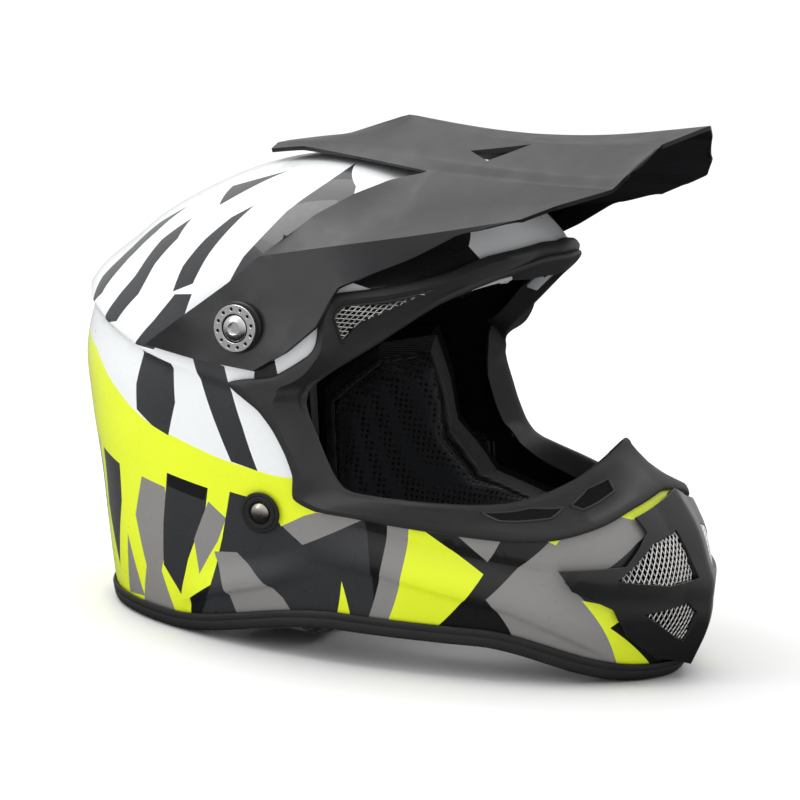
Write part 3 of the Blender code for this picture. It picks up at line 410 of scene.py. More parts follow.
def mesh_of(name, points, faces, outwards=True):
    """A mesh from points in millimetres; outwards turns its faces the right way out."""
    mesh = bpy.data.meshes.new(name)
    mesh.from_pydata(to_frame(points).tolist(), [], [tuple(int(i) for i in f) for f in faces])
    if outwards:
        edit = bmesh.new()
        edit.from_mesh(mesh)
        bmesh.ops.recalc_face_normals(edit, faces=edit.faces)
        edit.to_mesh(mesh)
        edit.free()
    return mesh


def new_piece(name, points, faces, material, slot, body=HELMET, sharp=35):
    mesh = mesh_of(name, points, faces)
    mesh.materials.append(material)
    mesh.shade_smooth()
    mesh.set_sharp_from_angle(angle=math.radians(sharp))
    obj = add_object(name, mesh)
    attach(obj, body)
    return obj


def soften(obj, width, segments=2, angle=30):
    bevel = obj.modifiers.new("soften", "BEVEL")
    bevel.width = width * MM
    bevel.segments = segments
    bevel.limit_method = "ANGLE"
    bevel.angle_limit = math.radians(angle)
    bevel.harden_normals = False
    return obj


def mirrored(places):
    return [(-p[0], *p[1:]) for p in reversed(places)]


def both_sides(places):
    return list(places) + mirrored(places)[1:-1]


def to_plane(angle, level):
    return np.stack([(1 - level) * np.sin(angle), -(1 - level) * np.cos(angle)], axis=-1)


def from_plane(points):
    points = np.asarray(points)
    return np.arctan2(points[:, 0], -points[:, 1]), 1 - np.hypot(points[:, 0], points[:, 1])


def segment_points(start, end, spacing):
    """Points of the plane from one place towards another, without the last."""
    turn = (end[0] - start[0] + 180) % 360 - 180
    parts = max(1, math.ceil(np.linalg.norm(on_shell(start) - on_shell(end)) / spacing))
    share = np.arange(parts) / parts
    return to_plane(np.radians(start[0] + turn * share), level_of(start[1] + (end[1] - start[1]) * share))


def dense_loop(places, spacing):
    return np.vstack([segment_points(a, b, spacing) for a, b in zip(places, places[1:] + places[:1])])


def open_line(places, spacing):
    return np.vstack([segment_points(a, b, spacing) for a, b in zip(places, places[1:])])


def inside(loop, points):
    points = np.asarray(points)
    ahead = np.roll(loop, -1, axis=0)
    count = np.zeros(len(points), int)
    for (ax, ay), (bx, by) in zip(loop, ahead):
        if ay == by:
            continue
        crosses = (ay > points[:, 1]) != (by > points[:, 1])
        at = ax + (points[:, 1] - ay) * (bx - ax) / (by - ay)
        count += crosses & (points[:, 0] < at)
    return count % 2 == 1


def field_points(spacing):
    rows = [1.0]
    while rows[-1] > 0.0:
        level, step = rows[-1], 0.0005
        here = plain_face(np.asarray(2.0), np.asarray(level))
        ahead = np.maximum(rows[-1] - step * np.arange(1, 400), -0.001)
        far = np.linalg.norm(plain_face(np.full_like(ahead, 2.0), ahead) - here, axis=1)
        reached = np.nonzero(far >= spacing)[0]
        if not len(reached):
            break
        rows.append(float(ahead[reached[0]]))
    points = [np.zeros((1, 2))]
    for number, level in enumerate(rows[1:]):
        ring = plain_face(np.linspace(0, math.pi, 80), np.full(80, level))
        half = np.linalg.norm(np.diff(ring, axis=0), axis=1).sum()
        count = max(3, round(half / spacing))
        turn = math.pi * (np.arange(2 * count) + 0.5 * (number % 2)) / count
        points.append(to_plane(turn, np.full(2 * count, level)))
    return np.vstack(points)


def within(borders, points):
    """Which points lie inside the first loop and outside the others."""
    kept = inside(borders[0], points)
    for hole in borders[1:]:
        kept &= ~inside(hole, points)
    return kept


def triangles_of(borders, loops=(), lines=(), field=()):
    """Points and triangles within the borders, with edges along every border, loop and line."""
    edges, begin = [], 0
    for loop in (*borders, *loops):
        edges += [(begin + i, begin + (i + 1) % len(loop)) for i in range(len(loop))]
        begin += len(loop)
    for line in lines:
        edges += [(begin + i, begin + i + 1) for i in range(len(line) - 1)]
        begin += len(line)
    points = [Vector(p) for p in np.vstack([*borders, *loops, *lines, *field])]
    made = delaunay_2d_cdt(points, edges, [], 0, 1e-7)
    flat = np.array([v[:] for v in made[0]])
    faces = np.array([t for t in made[2] if len(t) == 3])
    return flat, faces[within(borders, flat[faces].mean(axis=1))]


def cells_over(outline, holes, spacing, fine, loops=(), lines=()):
    """Triangles over a region of the shell, with edges along the loops and lines drawn on it."""
    borders = [dense_loop(list(loop), fine) for loop in (outline, *holes)]
    loops = [dense_loop(list(loop), fine) for loop in loops]
    lines = [open_line(list(line), fine) for line in lines]
    field = field_points(spacing)
    field = field[within(borders, field)]
    fixed_at = plain_face(*from_plane(np.vstack([*borders, *loops, *lines])))
    field_at = plain_face(*from_plane(field))
    kept = np.ones(len(field), bool)
    for start in range(0, len(field), BATCH):
        part = field_at[start:start + BATCH]
        gap = ((part[:, None, :] - fixed_at[None, :, :]) ** 2).sum(axis=2).min(axis=1)
        kept[start:start + BATCH] = gap > (0.5 * spacing) ** 2
    flat, faces = triangles_of(borders, loops, lines, [field[kept]])
    used, index = np.unique(faces, return_inverse=True)
    return flat[used], index.reshape(faces.shape)


def border_edges(faces):
    directed = {(int(t[i]), int(t[(i + 1) % 3])) for t in faces for i in range(3)}
    return [(a, b) for a, b in directed if (b, a) not in directed]


def skin(flat, faces, top, bottom):
    """A closed body from two layers over the same cells: points, faces."""
    count = len(flat)
    points = np.vstack([top, bottom])
    every = [tuple(t) for t in faces] + [tuple(i + count for i in t[::-1]) for t in faces]
    every += [(b, a, a + count, b + count) for a, b in border_edges(faces)]
    return points, every


def loft(sections, closed=False):
    """Points and faces of the body through a row of sections, joined end to end if closed, else capped."""
    sections = np.asarray(sections, float)
    count, size = sections.shape[:2]
    faces = []
    for i in range(count if closed else count - 1):
        a, b = i * size, ((i + 1) % count) * size
        faces += [(a + j, a + (j + 1) % size, b + (j + 1) % size, b + j) for j in range(size)]
    if not closed:
        faces += [tuple(range(size)), tuple(reversed(range((count - 1) * size, count * size)))]
    return sections.reshape(-1, 3), faces


def axes_about(axis):
    axis = Vector(axis).normalized()
    across = axis.orthogonal().normalized()
    return np.array(axis), np.array(across), np.array(axis.cross(across))


def circle(radius, parts, x=0.0, y=0.0):
    turn = 2 * math.pi * np.arange(parts) / parts
    return np.stack([x + radius * np.cos(turn), y + radius * np.sin(turn)], axis=1)


def turned_piece(name, profile, centre, axis, material, slot, body=HELMET, ring=False):
    """Turned about an axis: profile rows are (distance along the axis, radius)."""
    axis, across, beside = axes_about(axis)
    radial = circle(1.0, 64) @ np.stack([across, beside])
    sections = [np.array(centre) + a * axis + r * radial for a, r in profile]
    return new_piece(name, *loft(sections, ring), material, slot, body, 30)


def tube(path, radius, sides, up, closed=False):
    """Points and faces of a round bar along a path."""
    path = np.asarray(path, float)
    ahead = np.roll(path, -1, axis=0) - np.roll(path, 1, axis=0)
    if not closed:
        ahead[0], ahead[-1] = path[1] - path[0], path[-1] - path[-2]
    ahead /= np.linalg.norm(ahead, axis=1, keepdims=True)
    side = np.cross(ahead, np.asarray(up, float))
    side /= np.maximum(np.linalg.norm(side, axis=1, keepdims=True), 1e-9)
    top = np.cross(side, ahead)
    turn = 2 * math.pi * (np.arange(sides) + 0.5) / sides
    points = (path[:, None, :] + radius * (np.cos(turn)[None, :, None] * side[:, None, :]
                                           + np.sin(turn)[None, :, None] * top[:, None, :]))
    return loft(points, closed)


def gather(parts):
    """Several bodies as one: points, faces."""
    points, faces, start = [], [], 0
    for some, more in parts:
        points.append(some)
        faces += [tuple(i + start for i in f) for f in more]
        start += len(some)
    return np.vstack(points), faces


def bar_piece(name, bars, material, slot, body=HELMET):
    return new_piece(name, *gather(bars), material, slot, body, 60)


# ---------------------------------------------------------------- the painted shell
# Shards of the livery on the left half, mirrored to the right: (lacquer, outline of places).
BAND_TOP = ((180, 150), (160, 146), (138, 136), (129, 124), (120, 113), (113, 107), (106, 104), (95, 98),
            (84, 94), (70, 94))
LIVERY = (
    (YELLOW, BAND_TOP + ((70, 60), (83, 66), (92, 40), (104, 20), (106, -2), (180, -2))),
    (BLACK, ((83, 66), (76, 76), (70, 84), (0, 100), (0, -2), (106, -2), (104, 20), (92, 40))),
    # Blades on the white crown, all leaning forwards, with slanted ends.
    (DARK, ((133, 227), (117, 238), (122, 219))),
    (DARK, ((140, 214), (144, 203), (146, 186), (145, 170), (141, 157), (138, 164), (140, 184), (138, 200))),
    (DARK, ((127, 211), (130, 198), (129, 178), (130, 164), (132, 151), (126, 155), (123, 171), (124, 187),
            (123, 201))),
    (DARK, ((106, 223), (110, 216), (112, 204), (113, 190), (112, 177), (107, 183), (107, 198))),
    (DARK, ((111, 176), (106, 178), (106, 163), (112, 147), (118, 147), (114, 161))),
    (DARK, ((80, 244), (70, 236), (66, 206), (90, 200), (97, 186), (96, 200), (91, 223))),
    (DARK, ((116, 145), (107, 142), (106, 122), (108, 104), (113, 107), (118, 113), (118, 126))),
    (DARK, ((102, 150), (94, 146), (91, 124), (87, 95), (92.5, 97.5), (97, 122))),
    (BLACK, ((86, 158), (82, 158), (81, 144), (87, 140))),
    (BLACK, ((68, 220), (44, 221), (30, 226), (35, 213), (32, 205), (45, 196), (57, 190), (68, 196))),
    # Blades hanging below the yellow band.
    (DARK, ((168, 98), (154, 94), (156, 60), (162, 28), (167, 56))),
    (GREY, ((150, 90), (144, 85), (144, 50), (148, 14), (153, 34))),
    (DARK, ((139, 84), (128, 80), (129, 60), (136, 22), (141, 54))),
    (GREY, ((127, 44), (122, 12), (131, 10))),
    (GREY, ((118, 78), (110, 76), (109, 54), (113, 30), (109, 2), (124, 2), (119, 30), (122, 56))),
    (DARK, ((109, 84), (98, 81), (99, 66), (104, 40), (107, 20), (112, 34), (111, 58))),
    (BLACK, ((109, 84), (98, 81), (99, 74), (109, 77))),
    (GREY, ((98, 74), (94, 67), (96, 54), (101, 34), (102, 52))),
    # This shard is black paint given the lighter charcoal lacquer: its tone is partly a painted highlight.
    (DARK, ((93, 81.5), (84, 79), (81, 61), (74, 77), (69, 78), (69, 2), (104, 2), (98, 28), (95, 56))),
    (GREY, ((97, 48), (92, 50), (84, 30), (78, 2), (91, 2), (94, 26))),
    (GREY, ((84, 70), (77, 78), (69, 78), (80, 60))),
    (YELLOW, ((84, 80), (78, 77.5), (83.5, 68), (84.5, 76))),
    (YELLOW, ((74, 44), (71, 2), (76, 2))),
    # Shards along the chin bar.
    (GREY, ((65, 80), (61.5, 80), (69, 2), (72, 2))),
    (YELLOW, ((61.5, 80), (51, 56), (65, 2), (69, 2))),
    (GREY, ((56, 80), (45, 80), (50, 62))),
    (GREY, ((35, 80), (8, 94), (8, 84), (19, 73), (27, 62), (37, 54), (33, 44), (19, -2), (41, -2), (47, 28),
            (51, 44), (45, 60))),
    (YELLOW, ((41, 78), (34.5, 78), (37, 72.5))),
    (YELLOW, ((24, 88), (0, 102), (0, 91), (9, 85), (17, 84))),
    (YELLOW, ((34, 45), (27, 42), (25, 36), (28, 31), (6, -2), (19.5, -2))),
)


def surround_rows(parts):
    """The surround's rows round the whole eyeport, smoothed through the half that is listed."""
    table = np.array([(*place, *lip, lap) for place, lip, lap in SURROUND], float)
    mirror = table[-2:0:-1] * np.array([-1, 1, -1, 1, 1, 1])
    ring = np.vstack([table, mirror])
    before, start, end, after = (np.roll(ring, k, axis=0) for k in (1, 0, -1, -2))
    made = []
    for i in range(parts):
        share = i / parts
        straight = start + (end - start) * share
        made.append(ROUNDED * spline(before, start, end, after, share) + (1 - ROUNDED) * straight)
    made = np.stack(made, axis=1).reshape(-1, 6)
    return [((row[0], row[1]), np.array([row[2], -row[3], row[4]]), row[5]) for row in made]


def surround_frames(parts):
    rows = surround_rows(parts)
    outers = np.array([on_shell(place) for place, _, _ in rows])
    middles = (outers + np.array([lip for _, lip, _ in rows])) / 2
    frames = []
    for i, (place, lip, lap) in enumerate(rows):
        outer, normal = outers[i], normal_at(place)
        inward = (lip - outer) / np.linalg.norm(lip - outer)
        onward = middles[(i + 1) % len(rows)] - middles[i - 1]
        face = np.cross(onward, inward)
        face /= np.linalg.norm(face)
        face *= np.sign(face @ normal)
        over = (lip - outer) - ((lip - outer) @ normal) * normal
        over /= np.linalg.norm(over)
        frames.append((place, outer, lip, lap, normal, inward, face, over))
    return frames


FRAMES_PER_ROW = 5
FRAMES = surround_frames(FRAMES_PER_ROW)


def eyeport_cut():
    return [walk(place, lap * over) for place, _, _, lap, _, _, _, over in FRAMES]


def vent_cut(outline, side, grow=1.0):
    middle = [sum(p[i] for p in outline) / len(outline) for i in (0, 1)]
    return [(side * (middle[0] + (a - middle[0]) * grow), middle[1] + (h - middle[1]) * grow)
            for a, h in outline]


def crease_lines():
    """Lines along each crease, at its edge and down its step, on both sides."""
    lines = []
    for crease, drops in ((LEDGE, (-0.6, 1.2, 2.8, 4.2)), (SIDE_CREASE, (-0.6, 1.8, 3.6, 5.2)),
                          (REAR_CREASE, (-0.6, 1.6, 3.2, 4.7)), (UPPER_CREASE, (-3, 0, 0.8))):
        for drop in drops:
            line = [(a, h - drop) for a, h, _ in crease]
            lines += [line, [(-a, h) for a, h in line]]
    return lines


def build_shell():
    outline = [(float(a), float(edge_height(a)) + 3.4) for a in range(-180, 180, 3)]
    holes = [eyeport_cut()]
    for side, _ in SIDES:
        holes += [vent_cut(UPPER_CHIN_VENT, side, 0.8), vent_cut(LOWER_CHIN_VENT, side, 0.8)]
    loops = []
    for _, shard in LIVERY:
        loops += [list(shard), mirrored(shard)]
    spacing = 3.2
    flat, faces = cells_over(outline, holes, spacing, spacing * 0.8, loops, crease_lines())
    angle, level = from_plane(flat)
    top = painted_face(angle, level)
    normals = surface_normals(painted_face, angle, level)
    points, every = skin(flat, faces, top, plain_face(angle, level, np.full(len(flat), SHELL_THICKNESS)))
    middles = flat[faces].mean(axis=1)
    picks = np.zeros(len(faces), int)
    materials = [WHITE, YELLOW, BLACK, DARK, GREY]
    for lacquer_used, shard in LIVERY:
        for outline_used in (list(shard), mirrored(shard)):
            picks[inside(dense_loop(outline_used, spacing), middles)] = materials.index(lacquer_used)
    picks = np.concatenate([picks, np.full(len(every) - len(faces), materials.index(BLACK))])
    mesh = mesh_of("shell_painted", points, every, outwards=False)
    for material in materials:
        mesh.materials.append(material)
    mesh.polygons.foreach_set("material_index", picks.astype(np.int32))
    mesh.shade_smooth()
    mesh.normals_split_custom_set_from_vertices(np.vstack([normals, -normals]).tolist())
    shell = add_object("shell_painted", mesh)
    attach(shell, HELMET)
    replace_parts(shell, "outer_shell")


# ---------------------------------------------------------------- eyeport surround
def build_surround():
    sections = []
    for place, outer, lip, lap, normal, inward, face, over in FRAMES:
        half_place = walk(place, (lap + LAP_EDGE) * 0.5 * over)
        lap_place = walk(place, (lap + LAP_EDGE) * over)
        half_lap, half_normal = on_shell(half_place), normal_at(half_place)
        full_lap, lap_normal = on_shell(lap_place), normal_at(lap_place)
        start, end = full_lap + 3.2 * lap_normal, lip + 1.0 * face
        span = end - start
        sections.append([
            outer + 0.3 * normal, outer + 1.1 * normal - 0.15 * inward, outer + 1.9 * normal + 0.1 * over,
            outer + 2.5 * normal + 0.7 * over, outer + 2.8 * normal + 1.5 * over,
            half_lap + 3.1 * half_normal, start,
            start + 0.25 * span - 0.5 * face, start + 0.5 * span - 0.8 * face,
            start + 0.75 * span - 0.6 * face, end - 2.6 * inward - 0.1 * face,
            end - 1.2 * inward + 0.35 * face, end - 0.3 * inward + 0.25 * face,
            lip + 0.8 * inward + 0.5 * face, lip + 1.1 * inward - 0.4 * face,
            lip + 1.0 * inward - 2.2 * face, lip + 0.7 * inward - FLANGE_DEPTH * 0.5 * face,
            lip + 0.4 * inward - FLANGE_DEPTH * face, lip - 1.2 * inward - FLANGE_DEPTH * face,
            lip - 1.4 * inward - 1.8 * face, full_lap + 2.0 * (lip - full_lap) / 20 + 0.6 * lap_normal,
            full_lap + 0.5 * lap_normal, half_lap + 0.4 * half_normal,
        ])
    surround = new_piece("surround_moulded", *loft(sections, True), SURROUND_BLACK, "matte_black", sharp=50)
    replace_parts(surround, "eyeport_surround")


def surround_face(row, share, lift):
    """A point on the surround's moulded face: row 0 to 26 from brow to chin, share 0 (shell) to 1 (lip)."""
    index = int(row * FRAMES_PER_ROW)
    made = []
    for place, _, lip, lap, _, _, face, over in FRAMES[index:index + 2]:
        lap_place = walk(place, (lap + LAP_EDGE) * over)
        start, end = on_shell(lap_place) + 3.2 * normal_at(lap_place), lip + 1.0 * face
        sag = -0.8 * math.sin(math.pi * share)
        made.append(start + share * (end - start) + (sag + lift) * face)
    return made[0] + (row * FRAMES_PER_ROW - index) * (made[1] - made[0])


def surround_pocket(name, outline, side, mesh_pitch=None):
    """A sunken opening in the surround: a near-black sheet across it as painted shade for its depth, a rolled
    rim, and expanded metal if it has any.
    """
    dense = []
    for start, end in zip(outline, outline[1:] + outline[:1]):
        for k in range(6):
            dense.append(tuple(a + (b - a) * k / 6 for a, b in zip(start, end)))
    rim = np.array([surround_face(r, s, 0.2) for r, s in dense]) * np.array([side, 1.0, 1.0])
    middle = rim.mean(axis=0)
    _, _, axes = np.linalg.svd(rim - middle)
    across, along_it, normal = axes
    if normal @ (middle - np.array([0, 0, 120.0])) < 0:
        normal = -normal
    bar_piece(name + "_rim", [tube(rim, 0.8, 8, normal, True)], SURROUND_BLACK, "matte_black")
    count = len(rim)
    floor_points = np.vstack([rim, middle[None, :], rim - 1.0 * normal, middle[None, :] - 1.0 * normal])
    faces = [(i, (i + 1) % count, count) for i in range(count)]
    faces += [((i + 1) % count + count + 1, i + count + 1, 2 * count + 1) for i in range(count)]
    faces += [(i, i + count + 1, (i + 1) % count + count + 1, (i + 1) % count) for i in range(count)]
    # The floor is painted shade: a near-black sheet where the opening would be dark.
    new_piece(name + "_floor", floor_points, faces, PAINTED_SHADE_BLACK, "matte_black", sharp=60)
    if not mesh_pitch:
        return
    flat = np.stack([(rim - middle) @ across, (rim - middle) @ along_it], axis=1)
    strands = clipped_strands(flat, mesh_pitch, (28, -28))
    paths = [middle + s[:, :1] * across + s[:, 1:] * along_it + 0.75 * normal for s in strands]
    bar_piece(name + "_wire", [tube(path, 0.33, 5, normal) for path in paths], MESH_METAL, "silver_mesh")


def clipped_strands(loop, pitch, leans):
    """Parallel strands at each lean (degrees), cut off at the loop."""
    reach = np.abs(loop).max() * 1.5
    made = []
    for lean in leans:
        run = np.array([math.cos(math.radians(lean)), math.sin(math.radians(lean))])
        across = np.array([-run[1], run[0]])
        for k in np.arange(-reach, reach, pitch):
            t = np.arange(-reach, reach, 0.8)
            line = t[:, None] * run + k * across
            kept = np.concatenate([[False], inside(loop, line), [False]])
            starts = np.nonzero(kept[1:] & ~kept[:-1])[0]
            ends = np.nonzero(~kept[1:] & kept[:-1])[0]
            made += [line[a:b] for a, b in zip(starts, ends) if b - a >= 3]
    return made


DUCT_PROFILE = ((0, 0), (1.1, 0.02), (1.5, 0.1), (1.5, 0.9), (1.1, 0.98), (0, 1))  # lift, share of the width


def build_brow_ducts():
    """Light-grey ducts on the inside of the brow flange, set back behind the lip, with near-black bars for
    slots: painted shade where the openings would be.
    """
    first_frame, last_frame = int(1.6 * FRAMES_PER_ROW), int(3.6 * FRAMES_PER_ROW)
    for side, word in SIDES:
        flip = np.array([side, 1.0, 1.0])
        sections, slots = [], []
        for _, _, lip, _, _, inward, face, _ in FRAMES[first_frame:last_frame + 1]:
            near = lip + 1.1 * inward - 4.4 * face
            far = lip + 1.1 * inward - (FLANGE_DEPTH - 0.8) * face
            sections.append([(near + lift * inward + (far - near) * share) * flip
                             for lift, share in DUCT_PROFILE])
            slots.append(((near + 1.45 * inward + (far - near) * 0.5) * flip, inward * flip))
        duct = new_piece("brow_duct_moulded_" + word, *loft(sections), DUCT_GREY, "grey_plastic")
        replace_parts(duct, "brow_duct_" + word)
        # Each slot is a near-black bar lying on the duct: painted shade in place of an opening.
        bars = []
        for first in range(1, len(slots) - 3, 4):
            bars.append(tube([p for p, _ in slots[first:first + 3]], 0.7, 8, slots[first][1]))
        bar_piece("brow_duct_slot_shade_" + word, bars, PAINTED_SHADE_BLACK, "grey_plastic")


BROW_POCKET = ((6.1, 0.62), (5.7, 0.2), (4.9, 0.12), (3.2, 0.22), (4.2, 0.42))
CHIN_POCKETS = (((21.3, 0.70), (21.7, 0.40), (22.9, 0.34), (23.3, 0.52), (22.5, 0.74)),
                ((23.5, 0.52), (23.7, 0.30), (24.7, 0.34), (24.8, 0.62), (24.1, 0.70)))


def build_surround_vents():
    for side, word in SIDES:
        surround_pocket("brow_vent_" + word, BROW_POCKET, side, 2.4)
        for number, outline in enumerate(CHIN_POCKETS, 1):
            surround_pocket(f"chin_pocket_{number}_{word}", outline, side)


# ---------------------------------------------------------------- lower edge trim
def build_trim():
    """The rubber channel round the lower edge; section rows are (above the edge, out from the shell)."""
    high = TRIM_HEIGHT
    section = ((high - 1, 0.2), (high, 0.9), (high - 0.4, 1.7), (high - 1.6, 2.3), (high - 3.4, 2.5),
               (high - 3.9, 2.2), (high - 4.4, 2.6), (1.8, 3.0), (0.7, 2.7), (0.1, 1.8), (0, 0.6), (0, -8.4),
               (0.6, -9.2), (high - 0.8, -9.3), (high, -8.6), (high, -7.6), (1.7, -7.4), (1.7, 0.2))
    sections = []
    for angle in np.arange(-180, 180, 1.5):
        base = float(edge_height(angle))
        ring = []
        for rise, out in section:
            place = (angle, max(base + rise, 0.0))
            point, normal = on_shell(place), normal_at(place)
            flat = normal[:2] / math.hypot(normal[0], normal[1])
            ring.append([*(point[:2] + out * flat), base + rise])
        sections.append(ring)
    trim = new_piece("edge_trim_rubber", *loft(sections, True), EDGE_RUBBER, "black_rubber", sharp=50)
    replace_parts(trim, "lower_edge_trim")


# ---------------------------------------------------------------- vents
COVER_RIDGES = (((38, 56), (17, 50), (4, 48)), ((17, 81), (3, 78)), ((25, 27), (3, 21)))


def build_chin_cover():
    """A faceted shield: bevelled at its border and round its vents, with a keel down the middle."""
    outline = both_sides(CHIN_COVER)
    holes = [vent_cut(vent, side) for vent in (UPPER_CHIN_VENT, LOWER_CHIN_VENT) for side, _ in SIDES]
    lines = [((0, 88), (0, 14)), ((9, 84), (9, 20)), ((-9, 84), (-9, 20))]
    for ridge in COVER_RIDGES:
        lines += [list(ridge), [(-a, h) for a, h in ridge]]
    flat, faces = cells_over(outline, holes, 3.2, 3.2, [], lines)
    angle, level = from_plane(flat)
    side, height = np.abs(np.degrees(angle)), section_at(level)[0]
    keel = 4.0 * np.clip(1 - side / 9.0, 0, 1)
    spine = 1.8 * np.clip(1 - np.abs(height - 50 - 0.2 * side) / 10.0, 0, 1)
    points, every = skin(flat, faces, layer(angle, level, -3.4 - keel - spine),
                         layer(angle, level, np.full(len(flat), -1.6)))
    cover = new_piece("chin_cover_faceted", points, every, COVER_BLACK, "gloss_black", sharp=32)
    soften(cover, 1.1, 3, 48)
    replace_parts(cover, "chin_vent_cover")


def wire_mesh(name, outline, side, node):
    """Expanded metal over a vent: two families of slanted strands, just proud of the shell."""
    places = vent_cut(outline, side, 1.02)
    middle = np.mean(places, axis=0)
    per_degree = np.linalg.norm(on_shell((middle[0] + 1, middle[1])) - on_shell(tuple(middle)))
    loop = np.array([((a - middle[0]) * per_degree, h - middle[1]) for a, h in places])
    bars = []
    for strand in clipped_strands(loop, 2.5, (60, -60)):
        angle = np.radians(middle[0] + strand[:, 0] / per_degree)
        path = layer(angle, level_of(middle[1] + strand[:, 1]), -2.6)
        bars.append(tube(path, 0.36, 5, normal_at(tuple(middle))))
    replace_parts(bar_piece(name, bars, MESH_METAL, "silver_mesh"), node)


def build_chin_meshes():
    for row, outline in (("upper", UPPER_CHIN_VENT), ("lower", LOWER_CHIN_VENT)):
        for side, word in SIDES:
            wire_mesh(f"chin_wire_{row}_{word}", outline, side, f"chin_vent_mesh_{row}_{word}")


# ---------------------------------------------------------------- peak
PEAK_RIDGE = ((0, -77, 246.5), (0, -43, 254), (0, -7, 269), (0, 29, 266), (0, 62, 267),
              (0, 103, 271), (0, 135, 277.5), (0, 164, 284))
PEAK_CREASE = (None, None, (4, -4, 268), (12, 30, 265), (19, 61, 265), (25, 99, 267.5),
               (28, 128, 272), (31, 152, 275))
PEAK_SHOULDER = ((18, -74, 247), (24, -50, 252.5), (29, -15, 253.5), (34, 24, 253), (39, 55, 253),
                 (47, 106, 255.5), (52, 128, 257), (52, 144, 260.5))
PEAK_CHANNEL = ((30, -71, 245), (32, -51, 249), (36, -12, 248), (41, 28, 246.5), (45, 62, 247.5),
                (52, 102, 249.5), (56, 124, 251.5), (58, 139.5, 253))
PEAK_TIP_BUMP = (41, 147, 264)
WING_UPPER_CREASE = ((66, 26, 229.5), (68, 52, 234.5), (72, 80, 239), (76, 102, 242))
WING_LOWER_CREASE = ((106, 14, 212.5), (95, 48, 220.5), (88, 78, 228.5))
WING_REAR_EDGE = ((53, 12, 241), (73, 3, 234.5), (93, -8, 224), (107, -16, 213), (116, -26, 202.5),
                  (123, -38, 188.5), (126.5, -65, 165.5), (123, -85, 149.5))
WING_LOWER_EDGE = ((130, -50, 147.5), (132, -16, 147), (130.5, 1, 159), (124.5, 14, 173),
                   (119, 17, 185), (115, 20, 193), (104, 34, 201), (97, 50, 209.5),
                   (90, 72, 224), (84, 103, 235.5))
WING_TIP = (79, 119.5, 244)
PEAK_THICKNESS = 2.2
CORNER_CREASE = 0.9


def peak_half_faces():
    """The left half's facets, from the tables of points."""
    ridge, crease, shoulder, channel = PEAK_RIDGE, PEAK_CREASE, PEAK_SHOULDER, PEAK_CHANNEL
    upper, lower, tip = WING_UPPER_CREASE, WING_LOWER_CREASE, WING_TIP
    rear, edge = WING_REAR_EDGE, WING_LOWER_EDGE
    faces = []
    for i in range(7):
        if crease[i] is None and crease[i + 1] is None:
            faces.append((ridge[i], shoulder[i], shoulder[i + 1], ridge[i + 1]))
        elif crease[i] is None:
            faces.append((ridge[i], crease[i + 1], ridge[i + 1]))
            faces.append((ridge[i], shoulder[i], shoulder[i + 1], crease[i + 1]))
        else:
            faces.append((ridge[i], crease[i], crease[i + 1], ridge[i + 1]))
            faces.append((crease[i], shoulder[i], shoulder[i + 1], crease[i + 1]))
        faces.append((shoulder[i], channel[i], channel[i + 1], shoulder[i + 1]))
    faces.append((crease[7], shoulder[7], PEAK_TIP_BUMP))
    faces += [
        (channel[3], upper[0], upper[1], channel[4]), (channel[4], upper[1], upper[2], channel[5]),
        (channel[5], upper[2], upper[3], channel[6]), (channel[6], upper[3], tip, channel[7]),
        (channel[3], rear[0], upper[0]), (rear[0], rear[1], upper[0]), (rear[1], rear[2], lower[0], upper[0]),
        (rear[2], rear[3], rear[4], lower[0]), (upper[0], lower[0], lower[1], upper[1]),
        (upper[1], lower[1], lower[2], upper[2]), (upper[2], lower[2], edge[9], upper[3]),
        (upper[3], edge[9], tip), (lower[2], edge[8], edge[9]), (lower[1], edge[7], edge[8], lower[2]),
        (lower[0], edge[6], edge[7], lower[1]), (lower[0], edge[5], edge[6]),
        (rear[4], edge[4], edge[5], lower[0]), (rear[4], rear[5], edge[3], edge[4]),
        (rear[5], rear[6], edge[2], edge[3]), (rear[6], edge[0], edge[1], edge[2]),
        (rear[6], rear[7], edge[0]),
    ]
    return faces


PEAK_VENT = ((28, 44), (23, 76), (36, 58))


def peak_creases():
    """Pairs of peak points whose edge stays crisp, with how crisp it is."""
    chains = ((PEAK_RIDGE, 0.8), (PEAK_CREASE[2:], 1.0), (PEAK_SHOULDER, 0.95), (PEAK_CHANNEL, 0.9),
              ((*WING_UPPER_CREASE, WING_TIP), 0.7),
              ((WING_REAR_EDGE[4], *WING_LOWER_CREASE, WING_LOWER_EDGE[9]), 1.0),
              ((PEAK_RIDGE[1], PEAK_CREASE[2], PEAK_RIDGE[2]), 0.9),
              ((PEAK_CHANNEL[3], WING_UPPER_CREASE[0], WING_REAR_EDGE[2]), 0.6))
    return [(a, b, sharp) for chain, sharp in chains for a, b in zip(chain, chain[1:])]


